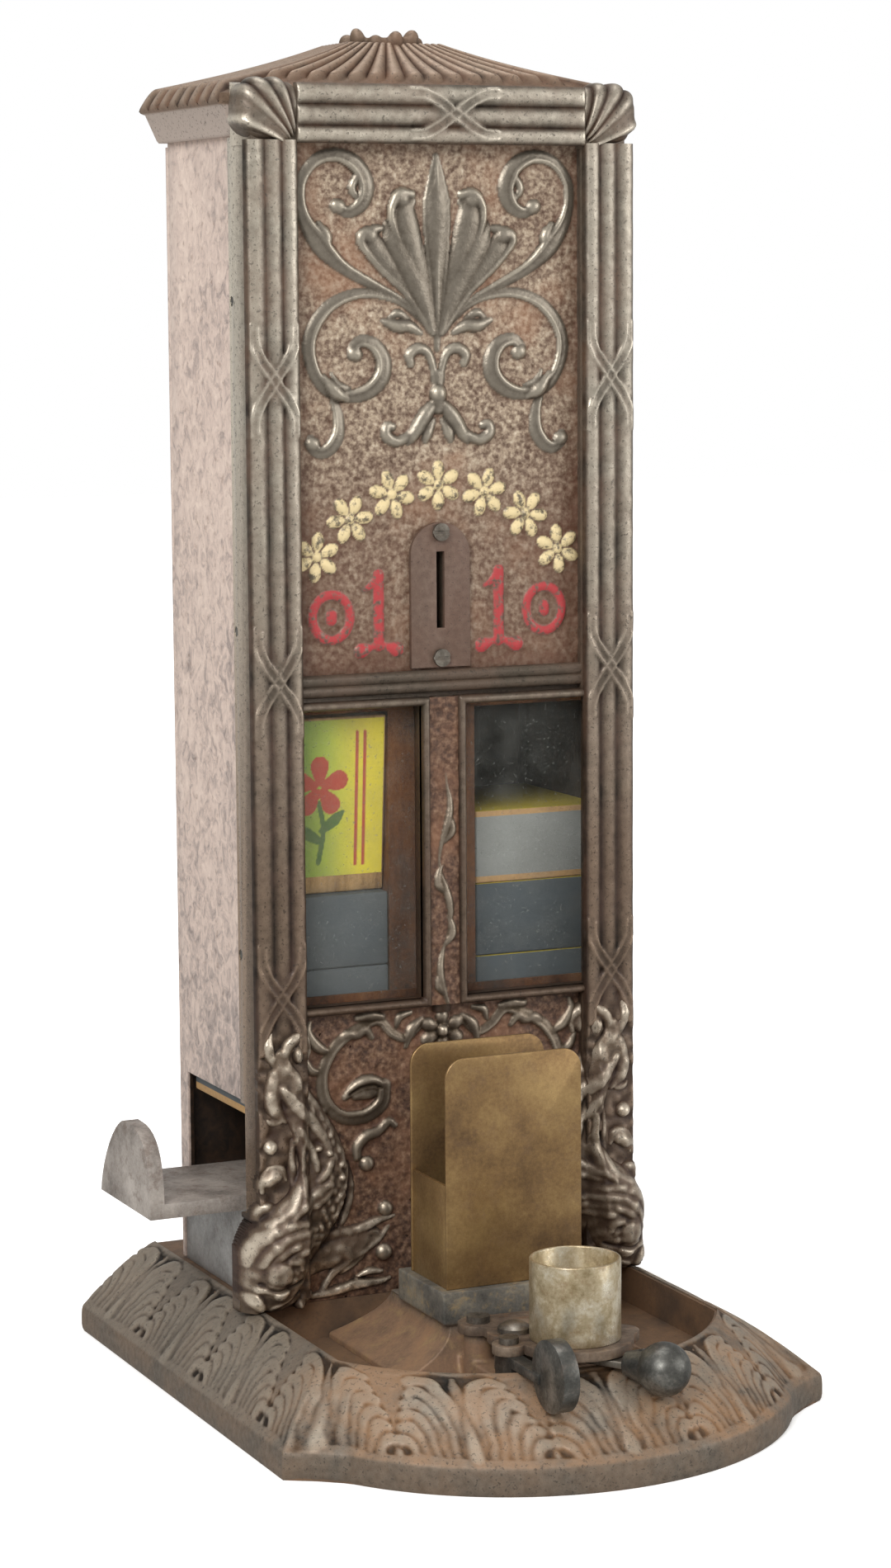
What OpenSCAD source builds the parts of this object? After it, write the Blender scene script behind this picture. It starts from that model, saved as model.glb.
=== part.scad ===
// Cast-iron counter vendor for boxed matches: a glazed tower on an ash-tray base,
// with two box slides, a coin lock, a brass box holder and a cigar cutter.
// Millimetres. +Z up, the front faces -Y, origin under the middle of the base.

/* [Base] */
// Width of the base
base_w = 143; // [120:1:170]
// Depth of the base, from the front bow to the back edge
base_d = 180; // [170:1:200]
// Height of the platform that the tower stands on
base_h = 21.5; // [19:0.5:26]
// Height of the upright rim round the base
rim_h = 6.5; // [4:0.5:9]
// How far the front corners lie in front of the middle
shoulder_y = 49.5; // [45:0.5:53]
// Radius of the front bow
bow_r = 70; // [66:1:80]
// Half the chord of the front bow
bow_half = 58.5; // [54:0.5:60]
// Width of the ash recess
ash_w = 102; // [90:1:106]
// How far the ash recess reaches in front of the middle
ash_front = 64.5; // [60:0.5:68]
// Radius of the ash recess's front edge
ash_r = 58; // [56:1:66]
// Height of the ash recess's floor
ash_floor_z = 12; // [10:0.5:14]
// Thickness of the base casting
base_wall = 5; // [4:0.5:6]
// Width of the rib under the base, which stands level with the rim
rib_w = 6; // [4:0.5:10]
// Depth of the leaf carving on the border
carving = 1.1; // [0.2:0.1:1.4]
// Width of one leaf motif along the sides
motif_w = 39.5; // [36:0.5:60]

/* [Tower] */
// Width of the front casting over its columns
tower_w = 103.2; // [100:0.2:110]
// Y of the front casting's flat field
tower_front = 17.5; // [15:0.5:19]
// Thickness of the front casting's plate
front_t = 4.5; // [4:0.5:6]
// Y of the side panels' back edges
tower_back = 71.5; // [71:0.5:76]
// Height of the front casting's top edge
tower_top = 321; // [310:1:340]
// Width of a reeded column
column_w = 13; // [11:0.5:14]
// How far the columns stand proud of the field
column_proud = 4.8; // [3.5:0.1:6]
// Thickness of the sheet side panels and door
sheet_t = 1.6; // [1.2:0.1:2]
// How far the side panels lie inside the columns' outer faces
panel_inset = 2.1; // [1.5:0.1:2.6]
// Height where the side panels end, inside the roof
panel_top = 316; // [305:1:330]

/* [Windows] */
// Width of a window opening
window_w = 34.5; // [30:0.5:36]
// Height of a window opening
window_h = 73.8; // [60:0.2:80]
// Height of the windows' lower edge
window_z = 96.5; // [90:0.5:105]
// Width of the mullion between the openings
mullion_w = 12; // [11:0.5:16]
// How far the window frames stand proud of the field
frame_proud = 2.4; // [1.5:0.1:3]
// Thickness of the window glass
glass_t = 2; // [1.5:0.1:2.4]

/* [Coin parts] */
// Width of the coin plate
coin_plate_w = 16; // [13:0.5:20]
// Height of the coin plate above the windows
coin_plate_rise = 9.2; // [8.2:0.2:14]
// Height of the coin plate
coin_plate_h = 36; // [32:0.5:40]
// Thickness of the coin plate
coin_plate_t = 1.5; // [1:0.1:2]
// Width of the coin slot
coin_slot_w = 2.2; // [1.8:0.1:2.6]
// Height of the coin slot
coin_slot_h = 19; // [17:0.5:21]
// Inside width of the coin chute
chute_bore = 2.8; // [2.6:0.1:4]

/* [Stock] */
// Length of a match box
box_l = 44.5; // [42:0.5:44.5]
// Width of a match box
box_w = 35.4; // [33:0.2:35.6]
// Thickness of a match box
box_t = 18.6; // [17:0.2:19]

/* [Slides] */
// Height of the bed that the slides run on
bed_z = 44.4; // [42:0.2:48]
// Thickness of a slide's tray
tray_t = 3.7; // [3.4:0.1:4.5]
// Width of a slide
slide_w = 36.4; // [32:0.2:37]
// Stroke of a slide
slide_stroke = 21.5; // [16:0.5:22.5]
// Height of a slide's tab above its tray
tab_h = 18; // [14:0.5:22]
// Thickness of a slide's tab
tab_t = 3.8; // [3:0.1:5]
// Height of the mouths' upper edge
mouth_z = 72; // [70.5:0.5:76]

/* [Match-box holder] */
// Width of the holder's plates
holder_w = 36.5; // [34:0.5:40]
// Height of the holder's plates
holder_h = 56.8; // [50:0.2:60]
// Gap between the holder's plates
holder_gap = 19.6; // [18:0.2:21]
// Thickness of the brass sheet
brass_t = 0.9; // [0.7:0.1:1.2]
// Y of the holder's middle
holder_y = -14.1; // [-16:0.1:-12]
// Height of the slab that carries the holder
slab_z = 32.5; // [30:0.5:36]

/* [Cigar cutter] */
// X of the cup's axis
cup_x = 1; // [0:0.5:2]
// Y of the cup's axis
cup_y = -55.5; // [-57:0.5:-54]
// Outside diameter of the cup
cup_d = 21.8; // [18:0.2:23]
// Height of the cup
cup_h = 19.4; // [15:0.2:24]
// Wall of the cup
cup_wall = 0.9; // [0.7:0.1:1.5]
// Diameter of the hole that takes the cigar's tip
tip_d = 6; // [4:0.5:6]
// Height of the table's upper face
table_z = 26.6; // [26:0.1:28]
// Thickness of the table
table_t = 2.3; // [1.8:0.1:2.5]
// Thickness of the blade
blade_t = 1.6; // [1.2:0.1:1.8]
// X of the lever's pivot
pivot_x = -10; // [-11:0.5:-9]
// Y of the lever's pivot
pivot_y = -45; // [-46:0.5:-44]
// Radius of the ball on the lever
ball_r = 6.4; // [5.5:0.1:6.8]
// Diameter of the finger rest
rest_d = 17; // [14:0.5:17.5]

/* [Roof] */
// How far the eaves stand out from the columns
eave_out = 3.4; // [2:0.2:6]
// Height of the roof's crown above the panels' top
roof_rise = 15; // [11:0.5:20]
// Depth of the skirt below the panels' top
skirt_h = 6.5; // [5:0.5:7.2]
// Height of the roof's flutes at the eaves
flute_h = 1.5; // [0.5:0.1:2]
// Radius of the crown's ring of knobs
crown_r = 8.8; // [7:0.2:11]
// Radius of a crown knob
knob_r = 3.4; // [2.6:0.1:3.8]

/* [Door] */
// Diameter of the hinge pins
pin_d = 3; // [2.4:0.1:3.4]
// Outside diameter of a hinge knuckle
knuckle_d = 4.8; // [4.6:0.1:5.4]
// Length of a hinge knuckle
knuckle_l = 8; // [6:0.5:10]
// Diameter of the lock's barrel
barrel_d = 15; // [13:0.5:17]
// Diameter of the lock's plug
plug_d = 9; // [7:0.5:10]

/* [Hidden] */
// Gap between parts that pass each other
gap = 0.3;
// Radial clearance of a pin or screw in its hole
fit = 0.05;
eps = 0.5;
$fn = 64;

half_w = tower_w / 2;
panel_x = half_w - panel_inset;
inner_x = panel_x - sheet_t;
front_back = tower_front + front_t;
column_front = tower_front - column_proud;
roof_y = (front_back + tower_back) / 2 + 3;
front_flutes = 15;
side_flutes = 8;
rivet_low = mouth_z + 38;
rivet_high = panel_top - 46;
rivet_zs = [rivet_low, (rivet_low + rivet_high) / 2, rivet_high];

// Stock columns, on both sides of the coin parts
divider_t = 1;
box_inner_x = inner_x - gap - box_w;
divider_x = box_inner_x - gap - divider_t;
box_y = front_back + 0.4;
web_y = front_back + gap;

// Slides
tray_z = bed_z + gap;
pocket_z = tray_z + tray_t;
prong_top = pocket_z + box_t + 0.2;
stack_z = prong_top + gap;
slide_y = front_back + 4;
slide_mid = slide_y + slide_w / 2;
tray_outer = panel_x + 0.7;
tray_inner = box_inner_x - 0.2;
prong_l = 2 * tray_inner - 0.6;
prong_w = slide_w * 0.22;
centre_prong_w = slide_w * 0.39;
stop_x = tray_outer - 10.2;
stop_d = 4;
mouth_back = box_y + box_l + 0.7;

// Housing under the slides
housing_x = panel_x - 0.5;
housing_wall = 3;
bed_t = 3.4;
coin_slot_y = slide_y + slide_w + 2.4;
bolt_d = 4.8;
bolt_xy = [for (x = [-1, 1], y = [front_back + 9, tower_back - 7]) [x * (housing_x - 7), y]];

// Coin plate and chute, which leans back on its way down
coin_plate_z = window_z + window_h + coin_plate_rise;
chute_t = 1;
chute_w = 22;
chute_top = coin_plate_z + coin_plate_h - 2;
chute_bottom = stack_z + 16;
chute_lean = 20;
coin_slot_z = coin_plate_z + 9.8;
latch_y = slide_mid + 4;
latch_z = stack_z + 6.5;
latch_pin_d = 3;
latch_half = divider_x - 1.4;

// Cutter
blade_top = table_z - table_t - gap;
blade_z = blade_top - blade_t;
hub_h = 4.7;
hub_d = 9.6;
ledge_z = blade_z - hub_h - gap;
ball_x = 12.7;
ball_y = -78.2;
ball_z = blade_z + blade_t / 2;
rest_x = -15;
rest_y = -77.5;
rest_z = base_h + 3.5;
rest_t = 4;
lever_turn = atan2(ball_y - pivot_y, ball_x - pivot_x);
lever_l = norm([ball_x - pivot_x, ball_y - pivot_y]);
table_screw_xy = [[cup_x + 9, cup_y + 21], [cup_x - 15, cup_y + 22]];
pivot_d = 4;
rest_screw_x = rest_x - 0.5;
rest_screw_y = rest_y + 24;
tongue_w = 5;
grip_pin_d = 2.2;

// Door
door_back = tower_back + sheet_t;
door_top = panel_top - skirt_h - 1;
door_bottom = base_h + 0.6;
hinge_x = panel_x + knuckle_d / 2 + gap;
hinge_y = door_back;
hinge_zs = [70, 240];
lock_z = door_top - 9;
barrel_in = tower_back - 0.8;

// A cube from its low corner to its high corner
module span(low, high) {
    translate(low) cube(high - low);
}

// A cylinder along X, Y or Z from a start point
module rod(d, l, axis = "z") {
    turn = axis == "x" ? [0, 90, 0] : axis == "y" ? [-90, 0, 0] : [0, 0, 0];
    rotate(turn) cylinder(d = d, h = l);
}

// Points of half an outline, from the back corner to the front apex
function bow_half_points(half, corner_y, r, apex, chord, steps) =
    let (a = asin(chord / r), start_y = r - apex - r * cos(a), mid_y = (corner_y + start_y) / 2)
    concat([[half, base_d / 2], [half, corner_y], [(half + chord) / 2 - 0.1, mid_y + 0.5]],
        [for (i = [0:steps]) [r * sin(a * (1 - i / steps)), r - apex - r * cos(a * (1 - i / steps))]]);
function mirrored(half) = concat(half, [for (i = [len(half) - 2:-1:0]) [-half[i][0], half[i][1]]]);

// The border's outline, from the outer edge at 0 to the recess's edge at 1
rim_outline = mirrored(bow_half_points(base_w / 2, -shoulder_y, bow_r, base_d / 2, bow_half, 16));
recess_chord = ash_w / 2;
recess_corner = ash_r - ash_front - ash_r * cos(asin(recess_chord / ash_r));
recess_outline = mirrored(bow_half_points(ash_w / 2, recess_corner + 6, ash_r, ash_front, recess_chord, 16));
function border_at(t) = [for (i = [0:len(rim_outline) - 1]) rim_outline[i] * (1 - t) + recess_outline[i] * t];

// A closed solid through rings of points of equal count, given clockwise from above
module loft(rings) {
    n = len(rings[0]);
    last = len(rings) - 1;
    sides = [for (k = [0:last - 1], i = [0:n - 1]) let (j = (i + 1) % n)
        each [[k * n + i, k * n + j, (k + 1) * n + j], [k * n + i, (k + 1) * n + j, (k + 1) * n + i]]];
    low = n * (last + 1);
    caps = [for (i = [0:n - 1]) let (j = (i + 1) % n) each [[low, j, i], [low + 1, last * n + i, last * n + j]]];
    middles = [[0, 0, rings[0][0][2]], [0, 0, rings[last][0][2]]];
    polyhedron(concat([for (r = rings, p = r) p], middles), concat(sides, caps), convexity = 6);
}

// How far each point of the border's middle line lies along it
border_mid = border_at(0.5);
function run_to(i) = i == 0 ? 0 : run_to(i - 1) + norm(border_mid[i] - border_mid[i - 1]);
border_run = [for (i = [0:len(border_mid) - 1]) [run_to(i), i]];
border_end = border_run[len(border_run) - 1][0];
corner_run = border_run[2][0];

// Half a leaf motif: share of its width, 1 on a ridge, and where the ridge ends on the way to the recess
half_motif = [[0, 1, 0.84], [0.06, 0, 0], [0.12, 1, 0.78], [0.185, 0, 0], [0.25, 1, 0.66], [0.315, 0, 0], [0.38, 1, 0.52], [0.44, 0, 0]];

// Columns of the carving between two darts: run, ridge, ridge's end, lean towards the middle
function motif_columns(a, b) = concat(
    [for (h = half_motif) [a + h[0] * (b - a), h[1], h[2], h[0]]],
    [for (i = [len(half_motif) - 1:-1:1]) let (h = half_motif[i]) [b - h[0] * (b - a), h[1], h[2], -h[0]]]);

// All columns, from the right back corner round the front to the left back corner
side_cells = floor(corner_run / motif_w) + 1;
front_cells = 4;
front_w = (border_end - 2 * corner_run) / front_cells;
all_columns = concat(
    [for (k = [side_cells:-1:1]) each motif_columns(corner_run - k * motif_w, corner_run - (k - 1) * motif_w)],
    [for (k = [0:front_cells - 1]) each motif_columns(corner_run + k * front_w, corner_run + (k + 1) * front_w)],
    [for (k = [0:side_cells - 1]) each motif_columns(border_end - corner_run + k * motif_w,
        border_end - corner_run + (k + 1) * motif_w)]);
columns = concat([[0, 0, 0, 0]], [for (c = all_columns) if (c[0] > 2.5 && c[0] < border_end - 2.5) c], [[border_end, 0, 0, 0]]);

function share(x) = max(0, min(1, x));
function carved(t, ridge, end) = -carving * share(t / 0.1) * share((0.94 - t) / 0.08) * (1 - ridge * share((end - t) / 0.12 + 0.5));

// One ring of the border at share t of the way to the recess, with its carving
function ring(t, z) = let (line = border_at(t), last = len(line) - 1,
    xs = [for (i = [0:last]) [i, line[i][0]]], ys = [for (i = [0:last]) [i, line[i][1]]])
    [for (c = columns) let (u = lookup(c[0] + 3.2 * c[3] * pow(share(t / 0.7), 2), border_run))
        [lookup(u, xs), lookup(u, ys), z + carved(t, c[1], c[2])]];

// The ash recess, seen from above, cut back a little from the border's edge
module recess_shape(inset = 0.6) {
    intersection() {
        translate([-ash_w / 2 + inset, -base_d / 2]) square([ash_w - 2 * inset, base_d / 2 + tower_front - gap]);
        translate([0, ash_r - ash_front]) circle(r = ash_r - inset, $fn = 96);
    }
}

module base_tray() {
    rise = base_h - rim_h;
    slope = [for (t = [0.1, 0.32, 0.54, 0.7, 0.82, 0.94, 1]) ring(t, rim_h + rise * (1 - pow(1 - t, 1.3)))];
    cavity_x = base_w / 2 - 9.5;
    color("#6b5844") difference() {
        loft(concat([ring(0, 0), ring(0, rim_h)], slope));
        translate([0, 0, ash_floor_z]) linear_extrude(base_h) recess_shape();
        translate([0, 0, -eps]) linear_extrude(ash_floor_z - base_wall + eps) difference() {
            union() {
                translate([-cavity_x, -40]) square([2 * cavity_x, 40 + base_d / 2 - 6]);
                intersection() {
                    translate([0, bow_r - base_d / 2]) circle(r = bow_r - 9, $fn = 96);
                    translate([-cavity_x, -base_d / 2]) square([2 * cavity_x, base_d / 2 - 39]);
                }
            }
            translate([-rib_w / 2, -base_d]) square([rib_w, 2 * base_d]);
        }
        span([-ash_w / 2 + 1, front_back + 2, ash_floor_z - base_wall - eps],
            [ash_w / 2 - 1, base_d / 2 - 6, base_h - base_wall]);
        for (p = bolt_xy) translate([p[0], p[1], 0]) rod(bolt_d + 2 * fit, base_h + 1);
        for (x = [-1, 1]) translate([x * 11, 0, 0]) rod(bolt_d + 2 * fit, base_h);
    }
}

// A bolt seen with its head at z = 0 and its shank above it
module bolt(d, l) {
    translate([0, 0, -3.2]) cylinder(d = d * 1.75, h = 3.2, $fn = 6);
    cylinder(d = d, h = l);
}

module base_bolts() {
    color("#4a4541") for (p = bolt_xy) translate([p[0], p[1], base_h - base_wall]) bolt(bolt_d, base_wall + 14);
}

module slide_housing() {
    rail_h = tray_t - 0.4;
    color("#6f7276") difference() {
        union() {
            difference() {
                span([-housing_x, front_back, base_h], [housing_x, tower_back, bed_z]);
                span([-housing_x + housing_wall, front_back + housing_wall, base_h - eps],
                    [housing_x - housing_wall, tower_back + eps, bed_z - bed_t]);
            }
            for (p = bolt_xy) translate([p[0], p[1], base_h]) rod(9, bed_z - base_h - eps);
            for (y = [slide_y - gap - 1.8, slide_y + slide_w + gap])
                span([-inner_x + gap, y, bed_z - eps], [inner_x - gap, y + 1.8, bed_z + rail_h]);
        }
        span([-divider_x, coin_slot_y, bed_z - bed_t - eps], [divider_x, tower_back - 2, bed_z + rail_h + eps]);
        for (p = bolt_xy) translate([p[0], p[1], base_h - eps]) rod(bolt_d + 2 * fit, 16);
        for (s = [-1, 1]) translate([s * stop_x, slide_mid, bed_z - bed_t - eps]) rod(stop_d + 2 * fit, bed_t + 1);
    }
}

module slide_stop_pins() {
    color("#55504b") for (s = [-1, 1])
        translate([s * stop_x, slide_mid, bed_z - bed_t]) rod(stop_d, bed_t + gap + 1.9);
}

// Three reeds side by side, along Z, with the middle one at the origin
module reeds(l, pitch, r) {
    for (i = [-1:1]) translate([i * pitch, 0, 0]) cylinder(r = r, h = l);
}

module column(side) {
    reed_r = column_w / 6 + 0.25;
    reed_y = column_front + reed_r;
    mid = side * (half_w - column_w / 2);
    span([mid - column_w / 2, reed_y, base_h], [mid + column_w / 2, front_back, tower_top]);
    translate([mid, reed_y, base_h + 20]) reeds(tower_top - base_h - 34, column_w / 3, reed_r);
    span([mid - column_w / 2 - 0.4, column_front - 0.6, tower_top - 14], [mid + column_w / 2 + 0.4, front_back, tower_top + 1]);
    lip = mouth_z + 0.5;
    span([side > 0 ? panel_x : -half_w, front_back - eps, lip],
        [side > 0 ? half_w : -panel_x, front_back + 3, panel_top - skirt_h - 0.5]);
}

// A rectangle of the front, from its low x and z to its size, between two depths
module front_block(x, z, w, h, y0, y1) {
    span([x, y0, z], [x + w, y1, z + h]);
}

module front_casting() {
    rail_r = 2.2;
    transom_z = window_z + window_h + 3.4;
    color("#5d4d3e") difference() {
        union() {
            span([-half_w, tower_front, base_h], [half_w, front_back, tower_top]);
            for (s = [-1, 1]) column(s);
            for (i = [0:2]) translate([-half_w + column_w, column_front + rail_r, tower_top - 2.6 - i * 3.4])
                rod(2 * rail_r, tower_w - 2 * column_w, "x");
            front_block(-half_w + column_w, tower_top - 11.6, tower_w - 2 * column_w, 11.6, column_front + rail_r, tower_front);
            for (i = [0, 1]) translate([-half_w + column_w, tower_front - 1.4, transom_z + 1.2 + i * 2.6])
                rod(3, tower_w - 2 * column_w, "x");
            for (s = [-1, 1]) front_block(s > 0 ? mullion_w / 2 - 2 : -mullion_w / 2 - window_w - 2, window_z - 2,
                window_w + 4, window_h + 4, tower_front - frame_proud, tower_front + eps);
            translate([0, tower_front, window_z - 4]) rod(5, window_h + 6);
        }
        for (s = [-1, 1]) {
            x = s > 0 ? mullion_w / 2 : -mullion_w / 2 - window_w;
            front_block(x, window_z, window_w, window_h, tower_front - 5, front_back + eps);
            front_block(x - 1.3, window_z - 1.6, window_w + 2.6, window_h + 3.2, front_back - glass_t - 0.7, front_back + eps);
            for (z = rivet_zs) translate([s > 0 ? inner_x : -half_w - eps, front_back + 1.5, z])
                rod(2.4 + 2 * fit, half_w - inner_x + eps, "x");
        }
        front_block(-coin_slot_w / 2 - 0.2, coin_slot_z - 1, coin_slot_w + 0.4, coin_slot_h + 2, tower_front - 1, front_back + eps);
        for (z = coin_screw_zs()) translate([0, tower_front - 1, z]) rod(2.4 + 2 * fit, 4.5, "y");
        for (z = divider_screw_zs()) translate([0, front_back - 3, z]) rod(2.4 + 2 * fit, 4, "y");
    }
}

function coin_screw_zs() = [coin_plate_z + 2.4, coin_plate_z + coin_plate_h - 2.4];
function divider_screw_zs() = [window_z - 6, window_z + window_h / 2, panel_top - 26];

module side_panel(side) {
    color("#9c8a76") difference() {
        span([side > 0 ? inner_x : -panel_x, front_back, bed_z], [side > 0 ? panel_x : -inner_x, tower_back, panel_top]);
        span([side > 0 ? inner_x - 1 : -panel_x - 1, front_back - 1, bed_z - 1],
            [side > 0 ? panel_x + 1 : -inner_x + 1, mouth_back, mouth_z]);
        for (z = rivet_zs) translate([side > 0 ? inner_x - 1 : -panel_x - 1, front_back + 1.5, z])
            rod(2.4 + 2 * fit, sheet_t + 2, "x");
        for (y = roof_screw_ys()) translate([side > 0 ? inner_x - 1 : -panel_x - 1, y, roof_screw_z()])
            rod(2.8 + 2 * fit, sheet_t + 2, "x");
    }
}

function roof_screw_ys() = [front_back + 12, tower_back - 10];
function roof_screw_z() = panel_top - skirt_h / 2;

module left_panel() {
    side_panel(-1);
}

module right_panel() {
    side_panel(1);
}

module panel_rivets() {
    color("#4f463d") for (s = [-1, 1], z = rivet_zs)
        translate([s > 0 ? inner_x : -half_w + 0.2, front_back + 1.5, z]) rod(2.4, half_w - inner_x - 0.2, "x");
}

// A flat slab centred on the roof, from its half sizes
module roof_slab(hx, y0, y1, z, h) {
    span([-hx, y0, z], [hx, y1, z + h]);
}

// Points round a rectangle centred on the roof, clockwise from its right front corner: x, y, ridge, in front
function flute_points(hx, y0, y1) = [for (side = [
        [[hx, y0], [-hx, y0], front_flutes], [[-hx, y0], [-hx, y1], side_flutes],
        [[-hx, y1], [hx, y1], front_flutes], [[hx, y1], [hx, y0], side_flutes]])
    for (i = [0:2 * side[2] - 1]) let (p = side[0] + (side[1] - side[0]) * i / (2 * side[2]))
        [p[0], p[1], i % 2, side[0][1] == y0 && side[1][1] == y0 ? 1 : 0]];

// How far a flute stands above the roof's plain slope, at share s of the way to the eave
function flute_lift(s, ridge, front) = front && s > 0.66 ? 0
    : s == 1 ? -2.2 * (1 - 0.6 * ridge) : (0.25 + flute_h * s) * ridge + 0.6 * s;

module roof() {
    eave_x = half_w + eave_out;
    eave_back = tower_back + eave_out + 2;
    eave_z = panel_top + 1;
    eave_top = eave_z + 2.5;
    crown_z = panel_top + roof_rise;
    skirt_z = panel_top - skirt_h;
    eave = flute_points(eave_x, front_back - roof_y, eave_back - roof_y);
    seat = flute_points(crown_r + 4, -crown_r, crown_r);
    slope = [for (s = [1, 0.93, 0.69, 0.63, 0]) [for (i = [0:len(eave) - 1])
        [eave[i][0] * s + seat[i][0] * (1 - s), eave[i][1] * s + seat[i][1] * (1 - s),
            crown_z - (crown_z - eave_top) * s + (s == 0 ? 0 : flute_lift(s, eave[i][2], eave[i][3] == 1))]]];
    color("#5a4c3f") difference() {
        union() {
            translate([0, roof_y, 0]) loft(concat([[for (p = eave) [p[0], p[1], eave_z]]], slope));
            hull() {
                roof_slab(eave_x - 1, front_back, eave_back - 1, eave_z - 0.5, 1);
                roof_slab(panel_x + 1.8, front_back, tower_back + 2, skirt_z, 0.5);
            }
        }
        roof_slab(panel_x + 0.1, front_back - eps, tower_back + 0.1, skirt_z - eps, skirt_h + eps);
        hull() {
            roof_slab(inner_x - 2, front_back + 3, tower_back - 3, panel_top - eps, 1);
            roof_slab(crown_r, roof_y - crown_r + 4, roof_y + crown_r - 4, crown_z - 5, 0.5);
        }
        for (s = [-1, 1], y = roof_screw_ys()) translate([s > 0 ? inner_x : -inner_x - 4.1, y, roof_screw_z()])
            rod(2.8 + 2 * fit, 4.1, "x");
        translate([0, roof_y, crown_z - 8]) rod(4 + 2 * fit, 10);
    }
}

module roof_crown() {
    crown_z = panel_top + roof_rise;
    knobs = 10;
    color("#6a5a48") translate([0, roof_y, crown_z]) {
        cylinder(r = crown_r - 1.2, h = knob_r + 0.9);
        for (i = [0:knobs - 1]) rotate([0, 0, 360 * i / knobs]) translate([crown_r, 0, 0]) {
            cylinder(r = knob_r * 0.78, h = knob_r);
            translate([0, 0, knob_r]) sphere(r = knob_r * 0.78, $fn = 32);
        }
        translate([0, 0, -5.6]) cylinder(d = 4, h = 6);
    }
}

module roof_screws() {
    color("#4a4541") for (s = [-1, 1], y = roof_screw_ys()) translate([0, y, roof_screw_z()]) {
        translate([s > 0 ? inner_x - 1.8 : -inner_x, 0, 0]) rod(5.4, 1.8, "x");
        translate([s > 0 ? inner_x - eps : -inner_x - 4, 0, 0]) rod(2.8, 4 + eps, "x");
    }
}

module window_glass(side) {
    x = side > 0 ? mullion_w / 2 : -mullion_w / 2 - window_w;
    color("#9db0b5", 0.4) front_block(x - 1.1, window_z - 1.4, window_w + 2.2, window_h + 2.8,
        front_back - glass_t - 0.7, front_back - 0.7);
}

module left_glass() {
    window_glass(-1);
}

module right_glass() {
    window_glass(1);
}

module glass_retainers() {
    color("#5a5048") for (s = [-1, 1], z = [window_z - 1.4, window_z + window_h - 1.6]) {
        x = s > 0 ? mullion_w / 2 : -mullion_w / 2 - window_w;
        front_block(x - 1.1, z, window_w + 2.2, 3, front_back - 0.7, front_back);
    }
}

// Outline of an arch-topped plate standing on the origin
module arch_plate(w, h) {
    translate([-w / 2, 0]) square([w, h - w / 2]);
    translate([0, h - w / 2]) circle(d = w);
}

module coin_plate() {
    color("#4c3b30") difference() {
        translate([0, tower_front, coin_plate_z]) rotate([90, 0, 0]) linear_extrude(coin_plate_t)
            arch_plate(coin_plate_w, coin_plate_h);
        front_block(-coin_slot_w / 2, coin_slot_z, coin_slot_w, coin_slot_h, tower_front - 5, tower_front + 1);
        for (z = coin_screw_zs()) translate([0, tower_front - 5, z]) rod(2.4 + 2 * fit, 6, "y");
    }
}

module coin_plate_screws() {
    face = tower_front - coin_plate_t;
    color("#8b7f6e") for (z = coin_screw_zs()) translate([0, face, z]) difference() {
        union() {
            translate([0, -1, 0]) rod(4.4, 1, "y");
            rod(2.4, coin_plate_t + 3, "y");
        }
        span([-3, -2, -0.4], [3, -0.5, 0.4]);
    }
}

module stack_divider() {
    top = panel_top - 20;
    color("#7a5636") difference() {
        span([-divider_x - divider_t, web_y, stack_z], [divider_x + divider_t, slide_y + slide_w, top]);
        span([-divider_x, web_y + divider_t, stack_z - 1], [divider_x, tower_back, top + 1]);
        span([-divider_x + 2, web_y - 1, coin_slot_z - 4], [divider_x - 2, web_y + 2, coin_slot_z + coin_slot_h + 4]);
        for (z = divider_screw_zs()) translate([0, web_y - 1, z]) rod(2.4 + 2 * fit, 4, "y");
        translate([-divider_x - 2, latch_y, latch_z]) rod(latch_pin_d + 2 * fit, 2 * divider_x + 4, "x");
    }
}

module divider_screws() {
    color("#4a4541") for (z = divider_screw_zs()) translate([0, front_back - 2.6, z]) {
        rod(2.4, 2.6 + gap + divider_t, "y");
        translate([0, 2.6 + gap + divider_t, 0]) rod(4.6, 1.6, "y");
    }
}

// Side view of the chute: a leaning strip between two heights, as points of Y and Z
function chute_side(front, back, top, bottom) = let (lean = chute_lean * (chute_top - bottom) / (chute_top - chute_bottom),
    over = chute_lean * (chute_top - top) / (chute_top - chute_bottom))
    [[front + over, top], [back + over, top], [back + lean, bottom], [front + lean, bottom]];

module coin_chute() {
    y0 = web_y + divider_t;
    half = chute_bore / 2;
    flange_h = 8;
    color("#7c5a3a") difference() {
        union() {
            translate([-half - chute_t, 0, 0]) rotate([90, 0, 90]) linear_extrude(chute_bore + 2 * chute_t)
                polygon(chute_side(y0, y0 + chute_w, chute_top, chute_bottom));
            span([-half - 4, y0, chute_top - eps], [half + 4, y0 + chute_t, chute_top + flange_h]);
        }
        translate([-half, 0, 0]) rotate([90, 0, 90]) linear_extrude(chute_bore)
            polygon(chute_side(y0 + chute_t, y0 + chute_w - chute_t, chute_top + 1, chute_bottom - 1));
        span([-half, y0 - 1, coin_slot_z - 1], [half, y0 + 8, chute_top - 1]);
    }
}

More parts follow.
